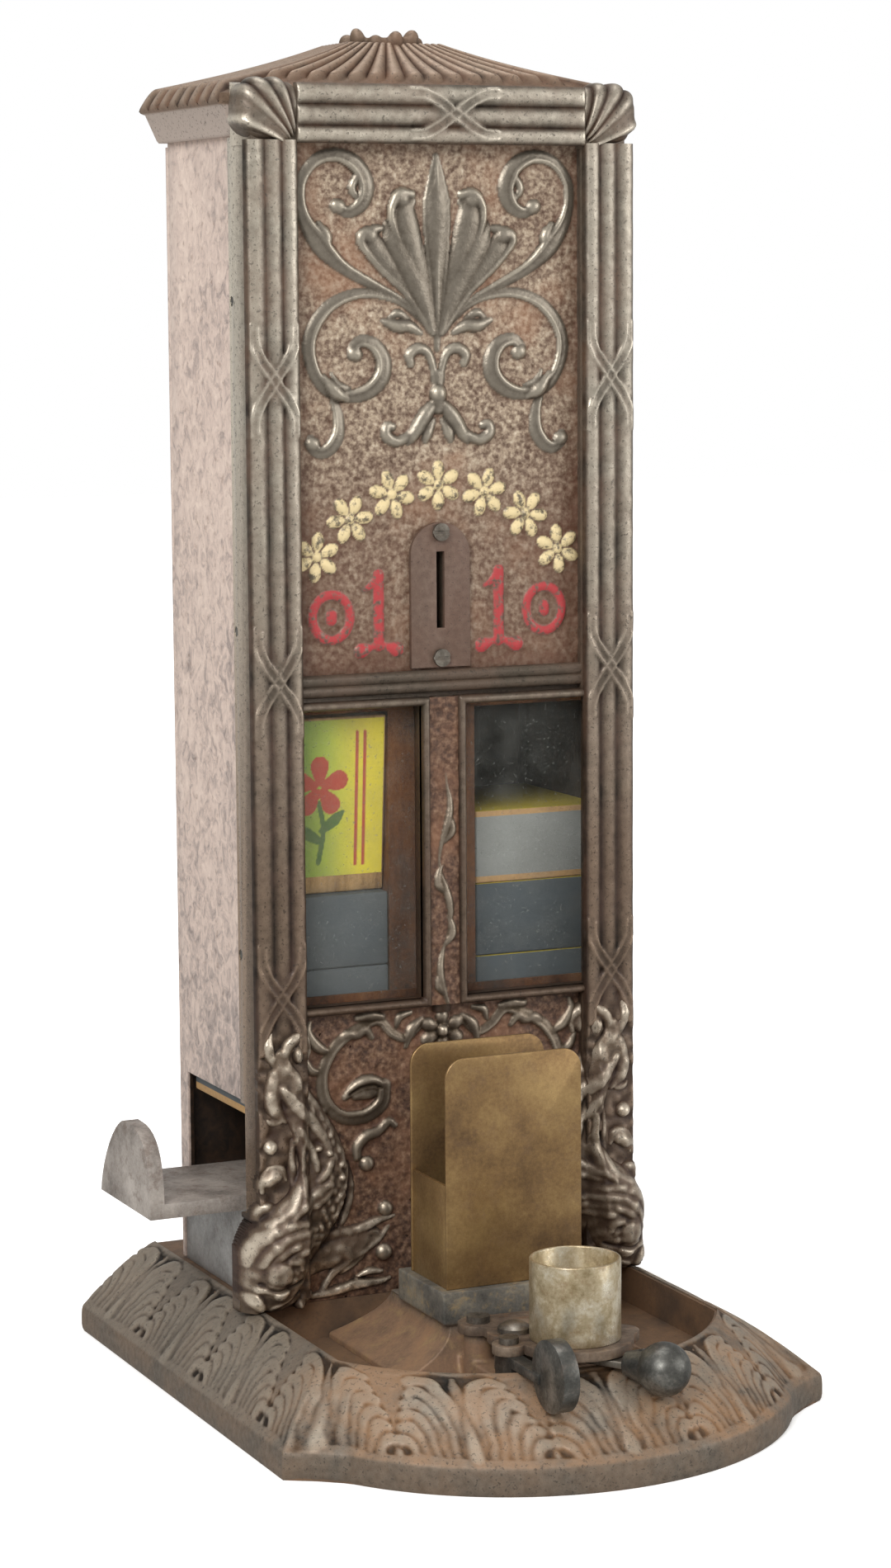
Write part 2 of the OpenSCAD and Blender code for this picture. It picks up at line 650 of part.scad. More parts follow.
module coin_latch() {
    pan_l = 17;
    arm_front = slide_y + prong_w / 2;
    mid_finger_y = slide_mid - 1.5;
    hub_d = 7;
    color("#5c564f") difference() {
        union() {
            translate([-latch_half, latch_y, latch_z]) rod(hub_d, 2 * latch_half, "x");
            span([-5, latch_y, latch_z - 1.6], [5, latch_y + pan_l, latch_z]);
            for (f = [[-1, arm_front], [1, mid_finger_y]]) {
                span([f[0] * 7 - 1.5, f[1] - 1.5, latch_z - 1], [f[0] * 7 + 1.5, latch_y, latch_z + 2]);
                span([f[0] * 7 - 1.5, f[1] - 1.5, stack_z + 0.1], [f[0] * 7 + 1.5, f[1] + 1.5, latch_z + 2]);
            }
        }
        translate([-latch_half - 1, latch_y, latch_z]) rod(latch_pin_d + 2 * fit, 2 * latch_half + 2, "x");
    }
}

module latch_pin() {
    color("#8a857d") translate([-divider_x - divider_t, latch_y, latch_z]) rod(latch_pin_d, 2 * (divider_x + divider_t), "x");
}

module cash_box() {
    wall = 1.2;
    x = housing_x - housing_wall - 13;
    y0 = front_back + housing_wall + 1;
    y1 = tower_back - 1;
    h = bed_z - bed_t - base_h - 2;
    color("#6b6359") difference() {
        span([-x, y0, base_h], [x, y1, base_h + h]);
        span([-x + wall, y0 + wall, base_h + wall], [x - wall, y1 - wall, base_h + h + 1]);
    }
}

// One side of a tab's face: a rounded quarter, squarer as power grows
function tab_side(half, power) = [for (a = [0:9:90]) [half * pow(cos(a), 2 / power), (tray_t + tab_h) * pow(sin(a), 2 / power)]];

// Mitten-shaped face of a slide's tab, seen along the slide: fuller in front than behind
module tab_face() {
    front = tab_side(-slide_w / 2, 3);
    back = tab_side(slide_w / 2, 1.5);
    polygon(concat(front, [for (i = [len(back) - 2:-1:0]) back[i]]));
}

// A slide at home on the right; prongs lists the low edge and width of each prong
module slide(prongs, out) {
    finger_x = 7;
    translate([out, 0, 0]) difference() {
        union() {
            span([tray_inner, slide_y, tray_z], [tray_outer + eps, slide_y + slide_w, pocket_z]);
            translate([tray_outer, slide_mid, tray_z]) rotate([90, 0, 90]) linear_extrude(tab_t) tab_face();
            for (p = prongs) {
                span([tray_inner - prong_l, p[0], tray_z], [tray_inner, p[0] + p[1], prong_top]);
                span([tray_inner - eps, p[0], tray_z], [tray_inner + eps, p[0] + p[1], pocket_z]);
            }
        }
        span([stop_x - slide_stroke - stop_d / 2 - gap, slide_mid - stop_d / 2 - gap, tray_z - 1],
            [stop_x + stop_d / 2 + gap, slide_mid + stop_d / 2 + gap, tray_z + 2.3]);
        for (p = prongs) span([finger_x - 2.2, p[0] - 1, prong_top - 2], [finger_x + 2.2, p[0] + p[1] + 1, prong_top + 1]);
    }
}

module left_slide() {
    prongs = [[slide_y, prong_w], [slide_y + slide_w - prong_w, prong_w]];
    color("#6c645b") mirror([1, 0, 0]) slide(prongs, slide_stroke);
}

module right_slide() {
    color("#6c645b") slide([[slide_mid - centre_prong_w / 2, centre_prong_w]], 0);
}

// A stack of boxes on one side, from the first level to the last
module box_stack(side, first, last) {
    x = side > 0 ? box_inner_x : -box_inner_x - box_w;
    for (i = [first:last]) translate([x, box_y, stack_z + i * box_t]) cube([box_w, box_l, box_t - 0.15]);
}

module left_stack() {
    color("#5b6066") box_stack(-1, 0, 2);
}

module left_label_box() {
    lean = 4;
    color("#c9c23a") translate([-box_inner_x - box_w, box_y + box_l * sin(lean), stack_z + 3 * box_t])
        rotate([lean, 0, 0]) cube([box_w, box_t, box_l]);
}

module right_stack() {
    color("#7f8488") box_stack(1, 0, 3);
}

module right_pocket_box() {
    color("#7f8488") translate([box_inner_x, box_y, pocket_z]) cube([box_w, box_l, box_t]);
}

// One knuckle of a hinge, with its bore
module knuckle(z) {
    translate([hinge_x, hinge_y, z]) difference() {
        cylinder(d = knuckle_d, h = knuckle_l - gap);
        translate([0, 0, -1]) cylinder(d = pin_d + 2 * fit, h = knuckle_l + 2);
    }
}

module pin_way() {
    for (z = hinge_zs) translate([hinge_x, hinge_y, z - 1]) cylinder(d = pin_d + 2 * fit, h = 3 * knuckle_l + 2);
}

module rear_door() {
    leaf_t = 1;
    color("#7a6d5f") difference() {
        union() {
            span([-panel_x, tower_back, door_bottom], [panel_x - 0.4, door_back, door_top]);
            for (z = hinge_zs) {
                span([panel_x - 14, door_back - 0.2, z + knuckle_l], [hinge_x, door_back + leaf_t, z + 2 * knuckle_l - gap]);
                knuckle(z + knuckle_l);
            }
        }
        pin_way();
        translate([0, tower_back - 1, lock_z]) rod(barrel_d + 2 * fit, sheet_t + 2, "y");
    }
}

module door_hinges() {
    leaf_t = 1;
    color("#6f655a") difference() {
        union() for (z = hinge_zs, k = [0, 2]) {
            span([panel_x, tower_back - 12, z + k * knuckle_l], [panel_x + leaf_t, hinge_y, z + (k + 1) * knuckle_l - gap]);
            knuckle(z + k * knuckle_l);
        }
        pin_way();
    }
}

module hinge_pins() {
    color("#8a857d") for (z = hinge_zs) translate([hinge_x, hinge_y, z - 0.8]) {
        cylinder(d = pin_d, h = 3 * knuckle_l + 1.6);
        translate([0, 0, 3 * knuckle_l + 0.8]) cylinder(d = pin_d + 1, h = 1.4);
    }
}

module lock_barrel() {
    color("#a58a52") difference() {
        translate([0, 0, lock_z]) {
            translate([0, barrel_in, 0]) rod(barrel_d, door_back - barrel_in + eps, "y");
            translate([0, door_back, 0]) rod(barrel_d + 4, 1.6, "y");
        }
        translate([0, barrel_in - 1, lock_z]) rod(plug_d + 2 * fit, 20, "y");
    }
}

module lock_plug() {
    front = door_back + 2;
    color("#b49a60") translate([0, 0, lock_z]) difference() {
        translate([0, barrel_in - gap, 0]) rod(plug_d, front - barrel_in + gap, "y");
        span([-0.8, front - 3, -3], [0.8, front + 1, 3]);
    }
}

module lock_cam() {
    cam_t = 2;
    reach = panel_top - skirt_h + 2 - lock_z;
    color("#8d8880") translate([0, barrel_in - gap - cam_t, lock_z]) {
        rod(plug_d, cam_t, "y");
        span([0, 0, -3], [reach, cam_t, 3]);
    }
}

module holder_pedestal() {
    foot = 1.5;
    neck_z = slab_z - 7.5;
    slab_front = holder_y - holder_gap / 2 - brass_t - 2.4;
    slab_back = holder_y + holder_gap / 2 + brass_t + 3.4;
    ledge_front = pivot_y - 4;
    color("#6e5a48") difference() {
        union() {
            hull() {
                span([-32, slab_front - 3, ash_floor_z], [32, tower_front - 1, ash_floor_z + foot]);
                span([-holder_w / 2, slab_front + 1, neck_z - 1], [holder_w / 2, slab_back + 8, neck_z]);
            }
            span([-holder_w / 2 - 2, slab_front, neck_z - eps], [holder_w / 2 + 2, slab_back, slab_z]);
            span([-17, ledge_front, ash_floor_z], [16, slab_front + 2, ledge_z]);
            for (p = table_screw_xy) translate([p[0], p[1], ash_floor_z]) rod(7, table_z - table_t - ash_floor_z);
        }
        span([-8.5, slab_front - 5, neck_z - 4.6], [1, slab_front + 12, neck_z - 0.4]);
        for (p = table_screw_xy) translate([p[0], p[1], ash_floor_z + 2]) rod(3 + 2 * fit, 20);
        translate([pivot_x, pivot_y, ash_floor_z + 2]) rod(pivot_d + 2 * fit, 20);
        for (x = [-1, 1]) translate([x * 11, 0, ash_floor_z - 1]) rod(bolt_d + 2 * fit, 9);
        for (x = [-1, 1]) translate([x * 10, holder_y, slab_z - 6]) rod(2.6 + 2 * fit, 7);
    }
}

module pedestal_screws() {
    under = ash_floor_z - base_wall;
    color("#4a4541") for (x = [-1, 1]) translate([x * 11, 0, under]) bolt(bolt_d, base_wall + 7);
}

// A holder plate with rounded top corners, seen from the front
module holder_face() {
    r = 5;
    translate([-holder_w / 2, 0]) square([holder_w, holder_h - r]);
    translate([-holder_w / 2 + r, 0]) square([holder_w - 2 * r, holder_h]);
    for (s = [-1, 1]) translate([s * (holder_w / 2 - r), holder_h - r]) circle(r = r);
}

module holder_plate(y) {
    translate([0, y, slab_z]) rotate([90, 0, 0]) linear_extrude(brass_t) holder_face();
}

module holder_front_plate() {
    color("#7d6233") holder_plate(holder_y - holder_gap / 2);
}

module holder_rear_plate() {
    color("#7d6233") holder_plate(holder_y + holder_gap / 2 + brass_t);
}

module holder_cradle() {
    side_h = holder_h * 0.45;
    y0 = holder_y - holder_gap / 2;
    color("#6d5530") difference() {
        span([-holder_w / 2 + 0.3, y0, slab_z], [holder_w / 2 - 0.3, y0 + holder_gap, slab_z + side_h]);
        span([-holder_w / 2 + 0.3 + brass_t, y0 - 1, slab_z + brass_t], [holder_w / 2 - 0.3 - brass_t, y0 + holder_gap + 1, slab_z + side_h + 1]);
        for (x = [-1, 1]) translate([x * 10, holder_y, slab_z - 1]) rod(2.6 + 2 * fit, 4);
    }
}

module holder_screws() {
    color("#8a7440") for (x = [-1, 1]) translate([x * 10, holder_y, slab_z - 5]) {
        rod(2.6, 5 + brass_t);
        translate([0, 0, 5 + brass_t]) rod(4.6, 1.4);
    }
}

// Plan of the cutter's table
module table_plan() {
    translate([cup_x, cup_y]) circle(r = cup_d / 2 + 3);
    translate([cup_x + 12, cup_y + 1]) circle(r = 5);
    translate([pivot_x, pivot_y]) circle(r = 6.5);
    for (p = table_screw_xy) translate(p) circle(r = 5);
    polygon([[pivot_x - 5, pivot_y - 4], [cup_x - 8, cup_y - 8], [cup_x + 13, cup_y - 3], [cup_x + 13.8, cup_y + 18],
        [table_screw_xy[0][0] + 2, table_screw_xy[0][1] + 4], [table_screw_xy[1][0] - 1, table_screw_xy[1][1] + 4.6]]);
    translate([rest_screw_x, rest_screw_y]) circle(r = 4);
    translate([rest_screw_x, rest_screw_y - 2.5]) square([cup_x - rest_screw_x, 8]);
}

module cutter_table() {
    color("#7c5f45") difference() {
        translate([0, 0, table_z - table_t]) linear_extrude(table_t) table_plan();
        translate([cup_x, cup_y, table_z - table_t - 1]) rod(tip_d, table_t + 2);
        translate([pivot_x, pivot_y, table_z - table_t - 1]) rod(pivot_d + 2 * fit, table_t + 2);
        for (p = table_screw_xy) translate([p[0], p[1], table_z - table_t - 1]) rod(3 + 2 * fit, table_t + 2);
        translate([rest_screw_x, rest_screw_y, table_z - table_t - 1]) rod(2.5 + 2 * fit, table_t + 2);
    }
}

// A pan-headed screw whose head sits on z = 0
module pan_screw(d, l) {
    cylinder(d = d * 1.9, h = 1.6);
    translate([0, 0, -l]) cylinder(d = d, h = l + eps);
}

module table_screws() {
    color("#6f665a") for (p = table_screw_xy) translate([p[0], p[1], table_z]) pan_screw(3, table_t + 8);
}

module cutter_cup() {
    color("#a89f8a") translate([cup_x, cup_y, table_z]) difference() {
        cylinder(d = cup_d, h = cup_h);
        translate([0, 0, 1]) cylinder(d = cup_d - 2 * cup_wall, h = cup_h);
        translate([0, 0, -1]) cylinder(d = tip_d, h = 3);
    }
}

module cutter_blade() {
    spring_room = 8;
    color("#8c8a86") difference() {
        union() {
            translate([0, 0, blade_z]) linear_extrude(blade_t) union() {
                translate([cup_x, cup_y]) circle(r = tip_d / 2 + 5);
                translate([pivot_x, pivot_y]) circle(d = hub_d);
                translate([pivot_x, pivot_y]) rotate(lever_turn) translate([0, -2]) square([20, 7]);
                translate([pivot_x, pivot_y]) rotate(lever_turn) translate([14, -tongue_w / 2])
                    square([lever_l - 16.5, tongue_w]);
            }
            translate([pivot_x, pivot_y, blade_z - hub_h]) rod(hub_d, hub_h + blade_t / 2);
        }
        translate([cup_x, cup_y, blade_z - 1]) rod(tip_d + 0.4, blade_t + 2);
        translate([pivot_x, pivot_y, blade_z - hub_h - 1]) rod(pivot_d + 2 * fit, hub_h + blade_t + 2);
        translate([pivot_x, pivot_y, blade_z - hub_h - 1]) rod(spring_room, hub_h + 0.6);
        translate([grip_pin_at()[0], grip_pin_at()[1], blade_z - 1]) rod(grip_pin_d + 2 * fit, blade_t + 2);
    }
}

// Place of the pin that holds the grip on the blade's tongue
function grip_pin_at() = let (t = lever_l - ball_r + 1)
    [pivot_x + t * cos(lever_turn), pivot_y + t * sin(lever_turn)];

module cutter_lever() {
    neck_l = 3.4;
    color("#4b4a48") difference() {
        union() {
            translate([ball_x, ball_y, ball_z]) sphere(r = ball_r);
            translate([pivot_x, pivot_y, ball_z]) rotate(lever_turn) translate([lever_l - ball_r - neck_l, 0, 0])
                rotate([0, 90, 0]) cylinder(r1 = 2.9, r2 = 4.4, h = neck_l + 2);
        }
        translate([pivot_x, pivot_y, 0]) rotate(lever_turn)
            span([lever_l - ball_r - neck_l - 1, -tongue_w / 2 - fit, blade_z - fit],
                [lever_l - 2.4, tongue_w / 2 + fit, blade_z + blade_t + fit]);
        translate([grip_pin_at()[0], grip_pin_at()[1], ball_z - ball_r]) rod(grip_pin_d + 2 * fit, 2 * ball_r);
    }
}

module grip_pin() {
    color("#77736c") translate([grip_pin_at()[0], grip_pin_at()[1], ball_z - 3]) rod(grip_pin_d, 6);
}

module pivot_screw() {
    color("#7a6a58") translate([pivot_x, pivot_y, table_z]) {
        cylinder(d = 8, h = 1.2);
        translate([0, 0, 1.2]) intersection() {
            translate([0, 0, -4]) sphere(r = 5.6, $fn = 48);
            cylinder(d = 8, h = 4);
        }
        translate([0, 0, ash_floor_z + 3 - table_z]) cylinder(d = pivot_d, h = table_z - ash_floor_z - 3 + eps);
    }
}

// Torsion spring inside the hub, which turns the blade back to rest
module cutter_spring() {
    color("#8f8b84") translate([pivot_x, pivot_y, ledge_z]) difference() {
        cylinder(d = 7.4, h = hub_h - 0.6);
        translate([0, 0, -1]) cylinder(d = pivot_d + 0.6, h = hub_h + 2);
    }
}

module finger_rest() {
    bar_top = table_z - table_t;
    bar_z = base_h + 0.5;
    bar_in = [rest_x - 2.4, rest_x + 1.4];
    color("#4b4a48") difference() {
        union() {
            translate([rest_x - rest_t / 2, rest_y, rest_z]) rod(rest_d, rest_t, "x");
            span([bar_in[0], rest_y + rest_d / 2 - 4, bar_z], [bar_in[1], rest_screw_y + 3.5, bar_top]);
            span([bar_in[0], rest_screw_y - 5, bar_z - 3.4], [bar_in[1], rest_screw_y + 3.5, bar_top]);
        }
        translate([rest_screw_x, rest_screw_y, bar_z - 2]) rod(2.5 + 2 * fit, 8);
    }
}

module rest_screw() {
    color("#6f665a") translate([rest_screw_x, rest_screw_y, table_z]) pan_screw(2.5, table_t + 4);
}

base_tray();
base_bolts();
slide_housing();
slide_stop_pins();
front_casting();
left_panel();
right_panel();
panel_rivets();
roof();
roof_crown();
roof_screws();
left_glass();
right_glass();
glass_retainers();
coin_plate();
coin_plate_screws();
stack_divider();
divider_screws();
coin_chute();
coin_latch();
latch_pin();
cash_box();
left_slide();
right_slide();
left_stack();
left_label_box();
right_stack();
right_pocket_box();
rear_door();
door_hinges();
hinge_pins();
lock_barrel();
lock_plug();
lock_cam();
holder_pedestal();
pedestal_screws();
holder_front_plate();
holder_rear_plate();
holder_cradle();
holder_screws();
cutter_table();
table_screws();
cutter_cup();
cutter_blade();
cutter_lever();
grip_pin();
pivot_screw();
cutter_spring();
finger_rest();
rest_screw();
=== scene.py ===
"""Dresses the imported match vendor: cast ornament, aged metal, stock and studio."""

import math

import bpy
import numpy as np
from mathutils import Matrix, Vector


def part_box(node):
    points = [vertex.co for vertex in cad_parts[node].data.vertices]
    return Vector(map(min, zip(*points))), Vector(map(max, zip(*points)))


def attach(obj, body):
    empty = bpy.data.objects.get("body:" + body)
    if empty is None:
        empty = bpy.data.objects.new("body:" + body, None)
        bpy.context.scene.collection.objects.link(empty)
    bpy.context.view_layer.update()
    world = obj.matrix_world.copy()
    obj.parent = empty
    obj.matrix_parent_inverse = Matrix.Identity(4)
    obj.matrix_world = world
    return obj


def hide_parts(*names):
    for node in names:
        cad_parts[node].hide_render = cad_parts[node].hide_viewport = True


bl_info = {
    "name": "Match Vendor Dressing",
    "version": (1, 0, 0),
    "blender": (4, 5, 0),
    "location": "View3D > Sidebar > Match Vendor",
    "description": "Builds the cast ornament, finishes and studio of a counter match vendor",
    "category": "Object",
}

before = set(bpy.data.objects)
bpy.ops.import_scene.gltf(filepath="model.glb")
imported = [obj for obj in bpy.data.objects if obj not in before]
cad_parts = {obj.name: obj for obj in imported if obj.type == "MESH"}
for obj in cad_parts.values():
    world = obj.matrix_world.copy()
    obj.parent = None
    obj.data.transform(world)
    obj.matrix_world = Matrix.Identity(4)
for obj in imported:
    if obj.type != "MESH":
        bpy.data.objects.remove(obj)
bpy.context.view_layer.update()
# Sizes below are in millimetres
MM = 0.001
ROOT = "machine"
# Where the sheets' paint meets bare iron, within their thickness: X of the sides, Y of the door
INSIDE_X = 48.9
INSIDE_Y = 72.2
# The tower's sunk field: half its width, and the foot and head of its upper and lower part
FIELD_HALF = 38.8
UPPER_FIELD = (178.2, 310.2)
LOWER_FIELD = (21.6, 94.3)
# The stacks of boxes: the height of their foot, and one box's thickness
STACK_FOOT = 67.5
BOX_TALL = 18.6
# Spacing of the points on the smaller reliefs and on the reeds
FINE_PITCH = 0.3
REED_PITCH = 0.34
# Points across one flute of the roof
FLUTE_POINTS = 16
# The border's motif: the width at which its plumes are drawn, and the spacing of their points
DRAWN_MOTIF = 39.5
PLUME_PITCH = 0.2
# Points along the border: on each side, round each front corner and on half the bow
SIDE_POINTS = 240
CORNER_POINTS = 26
BOW_POINTS = 170
# Rows of points on the border's rim, each with its height and how far it stands off, and up its slope
RIM = ((0.05, 0.0), (0.8, 0.4), (2.0, 0.6), (4.2, 0.6), (5.6, 0.5), (6.3, 0.35))
SLOPE_ROWS = 100


# Finishes

def linear(hex_colour):
    """sRGB hex to linear RGBA."""
    rgb = [int(hex_colour[i:i + 2], 16) / 255 for i in (1, 3, 5)]
    return tuple(c / 12.92 if c <= 0.04045 else ((c + 0.055) / 1.055) ** 2.4 for c in rgb) + (1.0,)


def add(tree, kind, links=None, stops=None, **settings):
    """Adds a shader node; links maps a socket to a value or to another node's output."""
    node = tree.nodes.new("ShaderNode" + kind)
    for key, value in settings.items():
        setattr(node, key, value)
    if stops:
        elements = node.color_ramp.elements
        while len(elements) < len(stops):
            elements.new(0.5)
        for element, (place, colour) in zip(elements, stops):
            element.position = place
            element.color = linear(colour) if isinstance(colour, str) else (colour, colour, colour, 1)
    for key, value in (links or {}).items():
        socket = node.inputs[key]
        if isinstance(value, bpy.types.NodeSocket):
            tree.links.new(value, socket)
        else:
            socket.default_value = linear(value) if isinstance(value, str) else value
    return node


def new_material(name):
    """An empty node material with its output and the object's own coordinates."""
    material = bpy.data.materials.new(name)
    material.use_nodes = True
    tree = material.node_tree
    tree.nodes.clear()
    output = add(tree, "OutputMaterial")
    place = add(tree, "TexCoord").outputs["Object"]
    return material, tree, output, place


def noise(tree, place, size, detail, roughness, distortion=0.0):
    """Cloudy noise whose clouds are about size millimetres across."""
    return add(tree, "TexNoise", {"Vector": place, "Scale": 1 / (size * MM), "Detail": detail,
                                  "Roughness": roughness, "Distortion": distortion}).outputs["Fac"]


def maths(tree, operation, *values, clamp=False):
    """The result of one operation on numbers or sockets."""
    return add(tree, "Math", dict(enumerate(values)), operation=operation, use_clamp=clamp).outputs[0]


def mix(tree, share, first, second, blend="MIX"):
    """The first colour with a share of the second."""
    links = {"Fac": share, "Color1": first, "Color2": second}
    return add(tree, "MixRGB", links, blend_type=blend).outputs["Color"]


def ramp(tree, value, stops):
    """A colour or a grey for each value, from stops of (value, colour)."""
    return add(tree, "ValToRGB", {"Fac": value}, stops).outputs["Color"]


def spread(tree, value, low=0.0, high=1.0, least=0.0, most=1.0):
    """A value's run from low to high, laid over least to most."""
    return add(tree, "MapRange", {"Value": value, "From Min": low, "From Max": high,
                                  "To Min": least, "To Max": most}).outputs[0]


def point_value(tree, name):
    """A value that the piece carries on its points."""
    return add(tree, "Attribute", attribute_name=name).outputs["Fac"]


def bumps(tree, height, strength, depth):
    """The normal of a fine unevenness, depth in millimetres."""
    return add(tree, "Bump", {"Height": height, "Strength": strength,
                              "Distance": depth * MM}).outputs["Normal"]


def surface(tree, output, sockets):
    """Closes a material with one principled surface."""
    shader = add(tree, "BsdfPrincipled", sockets)
    tree.links.new(shader.outputs["BSDF"], output.inputs["Surface"])


def cast_iron(name, dark, mid, pale, dust, dust_amount, metal, rough, grain=0.16, paint=None, dust_by=None,
              foot_tint=None):
    """Aged cast iron: sand-cast grain, brown patina, dust in the hollows and rubbed high spots.

    Reads the piece's own rub value, which is high on ridges and low in hollows, and where they are named
    the values that say how dusty and how painted each place is. A foot tint browns the lower half.
    """
    material, tree, output, place = new_material(name)
    wear_and_light = point_value(tree, "wear_and_light")
    cloud = noise(tree, place, 14, 5.0, 0.6)
    speck = noise(tree, place, 1.6, 6.0, 0.7)
    mixed = maths(tree, "MULTIPLY_ADD", speck, 0.5, -0.25)
    lifted = maths(tree, "ADD", wear_and_light, mixed)
    tone = ramp(tree, lifted, [(0.08, dark), (0.45, mid), (0.9, pale)])
    patch = ramp(tree, cloud, [(0.36, 0.0), (0.6, dust_amount)])
    low = maths(tree, "SUBTRACT", 1.15, wear_and_light, clamp=True)
    dusty = maths(tree, "MULTIPLY", patch, low)
    if dust_by:
        here = point_value(tree, dust_by)
        dusty = maths(tree, "MULTIPLY", dusty, here)
    colour = mix(tree, dusty, tone, dust)
    cover = dusty
    if paint:
        coat = point_value(tree, "paint")
        colour = mix(tree, coat, colour, paint)
        cover = maths(tree, "MAXIMUM", dusty, coat)
    pit = noise(tree, place, 0.8, 3.0, 0.6)
    pits = ramp(tree, pit, [(0.56, 0.0), (0.68, 0.6)])
    colour = mix(tree, pits, colour, dark)
    if foot_tint:
        height = add(tree, "SeparateXYZ", {"Vector": place}).outputs["Z"]
        down = spread(tree, height, low=240 * MM, high=130 * MM, most=0.75)
        colour = mix(tree, down, colour, foot_tint, blend="MULTIPLY")
    shine = ramp(tree, lifted, [(0.2, min(1.0, rough + 0.22)), (0.9, rough - 0.14)])
    metallic = spread(tree, cover, high=0.5, least=metal, most=0.1)
    bump = bumps(tree, speck, 0.7, grain)
    surface(tree, output, {"Base Color": colour, "Metallic": metallic, "Roughness": shine, "Normal": bump})
    return material


def painted_field(name, grounds, metals, worn_amount):
    """The tower's pebbled field: gold paint worn to brown iron, polished ornament, cream and red enamel.

    Reads rub, field, near, cream and red, which the relief writes on its points. Grounds and metals are
    four tones each, from the deepest to the palest.
    """
    material, tree, output, place = new_material(name)
    wear_and_light = point_value(tree, "wear_and_light")
    field = point_value(tree, "field")
    near = point_value(tree, "near")
    cream = point_value(tree, "cream")
    red = point_value(tree, "red")
    cloud = noise(tree, place, 24, 4.0, 0.6)
    pebble = noise(tree, place, 1.3, 2.0, 0.6)
    chip = noise(tree, place, 2.4, 6.0, 0.7)
    worn = maths(tree, "MULTIPLY_ADD", cloud, 0.4, -0.2 - worn_amount)
    grit = maths(tree, "ADD", pebble, worn)
    gilt = ramp(tree, grit, list(zip((0.24, 0.4, 0.56, 0.76), grounds)))
    rust = ramp(tree, cloud, [(0.5, 0.0), (0.66, 0.55)])
    rusty = mix(tree, rust, gilt, "#8c6043")
    # Painted shade: the field turns red-brown beside the raised ornament and along the sunk field's edges,
    # where shade falls
    hollow = maths(tree, "MULTIPLY", near, 0.82)
    ground = mix(tree, hollow, rusty, "#5c3a28")
    rubbed = maths(tree, "MULTIPLY_ADD", chip, 0.3, -0.15)
    height = maths(tree, "ADD", wear_and_light, rubbed)
    steel = ramp(tree, height, list(zip((0.12, 0.36, 0.56, 0.85), metals)))
    body = mix(tree, field, steel, ground)
    flake = ramp(tree, chip, [(0.4, 0.12), (0.5, 1.0)])
    cream_on = maths(tree, "MULTIPLY", cream, flake)
    red_on = maths(tree, "MULTIPLY", red, flake)
    with_cream = mix(tree, cream_on, body, "#dfcb9c")
    colour = mix(tree, red_on, with_cream, "#ad3a3c")
    paint = maths(tree, "ADD", cream_on, red_on, clamp=True)
    covered = maths(tree, "MAXIMUM", paint, field)
    metallic = spread(tree, covered, least=0.75, most=0.12)
    rough = spread(tree, covered, least=0.4, most=0.62)
    bump = bumps(tree, pebble, 0.6, 0.2)
    surface(tree, output, {"Base Color": colour, "Metallic": metallic, "Roughness": rough, "Normal": bump})
    return material


def mottled_sheet(name):
    """Old paint on sheet iron: pinkish beige, speckled brown and lavender grey, and bare dark iron inside."""
    material, tree, output, place = new_material(name)
    stretch = add(tree, "Mapping", {"Vector": place, "Scale": (1.0, 1.0, 0.85)})
    mottle = noise(tree, stretch.outputs[0], 3.2, 7.0, 0.68, 0.9)
    fleck = noise(tree, place, 2.0, 4.0, 0.6)
    cloud = noise(tree, place, 70, 3.0, 0.5)
    axes = add(tree, "SeparateXYZ", {"Vector": place})
    top = spread(tree, axes.outputs["Z"], low=140 * MM, high=300 * MM, least=-0.01, most=0.04)
    blend = maths(tree, "MULTIPLY_ADD", cloud, 0.4, -0.2)
    level = maths(tree, "ADD", mottle, blend)
    shifted = maths(tree, "ADD", level, top)
    tone = ramp(tree, shifted, [(0.3, "#8f837d"), (0.42, "#b3a299"), (0.52, "#cdb9ad"), (0.72, "#e0cdbf")])
    spots = ramp(tree, fleck, [(0.3, 0.5), (0.42, 0.0)])
    outside = mix(tree, spots, tone, "#8d7566")
    bare = ramp(tree, mottle, [(0.35, "#1d1713"), (0.65, "#3d2c20")])
    across = maths(tree, "ABSOLUTE", axes.outputs["X"])
    narrow = maths(tree, "LESS_THAN", across, INSIDE_X * MM)
    ahead = maths(tree, "LESS_THAN", axes.outputs["Y"], INSIDE_Y * MM)
    inside = maths(tree, "MULTIPLY", narrow, ahead)
    colour = mix(tree, inside, outside, bare)
    bump = bumps(tree, mottle, 0.35, 0.15)
    rough = spread(tree, mottle, least=0.52, most=0.38)
    surface(tree, output, {"Base Color": colour, "Metallic": 0.1, "Roughness": rough, "Normal": bump})
    return material


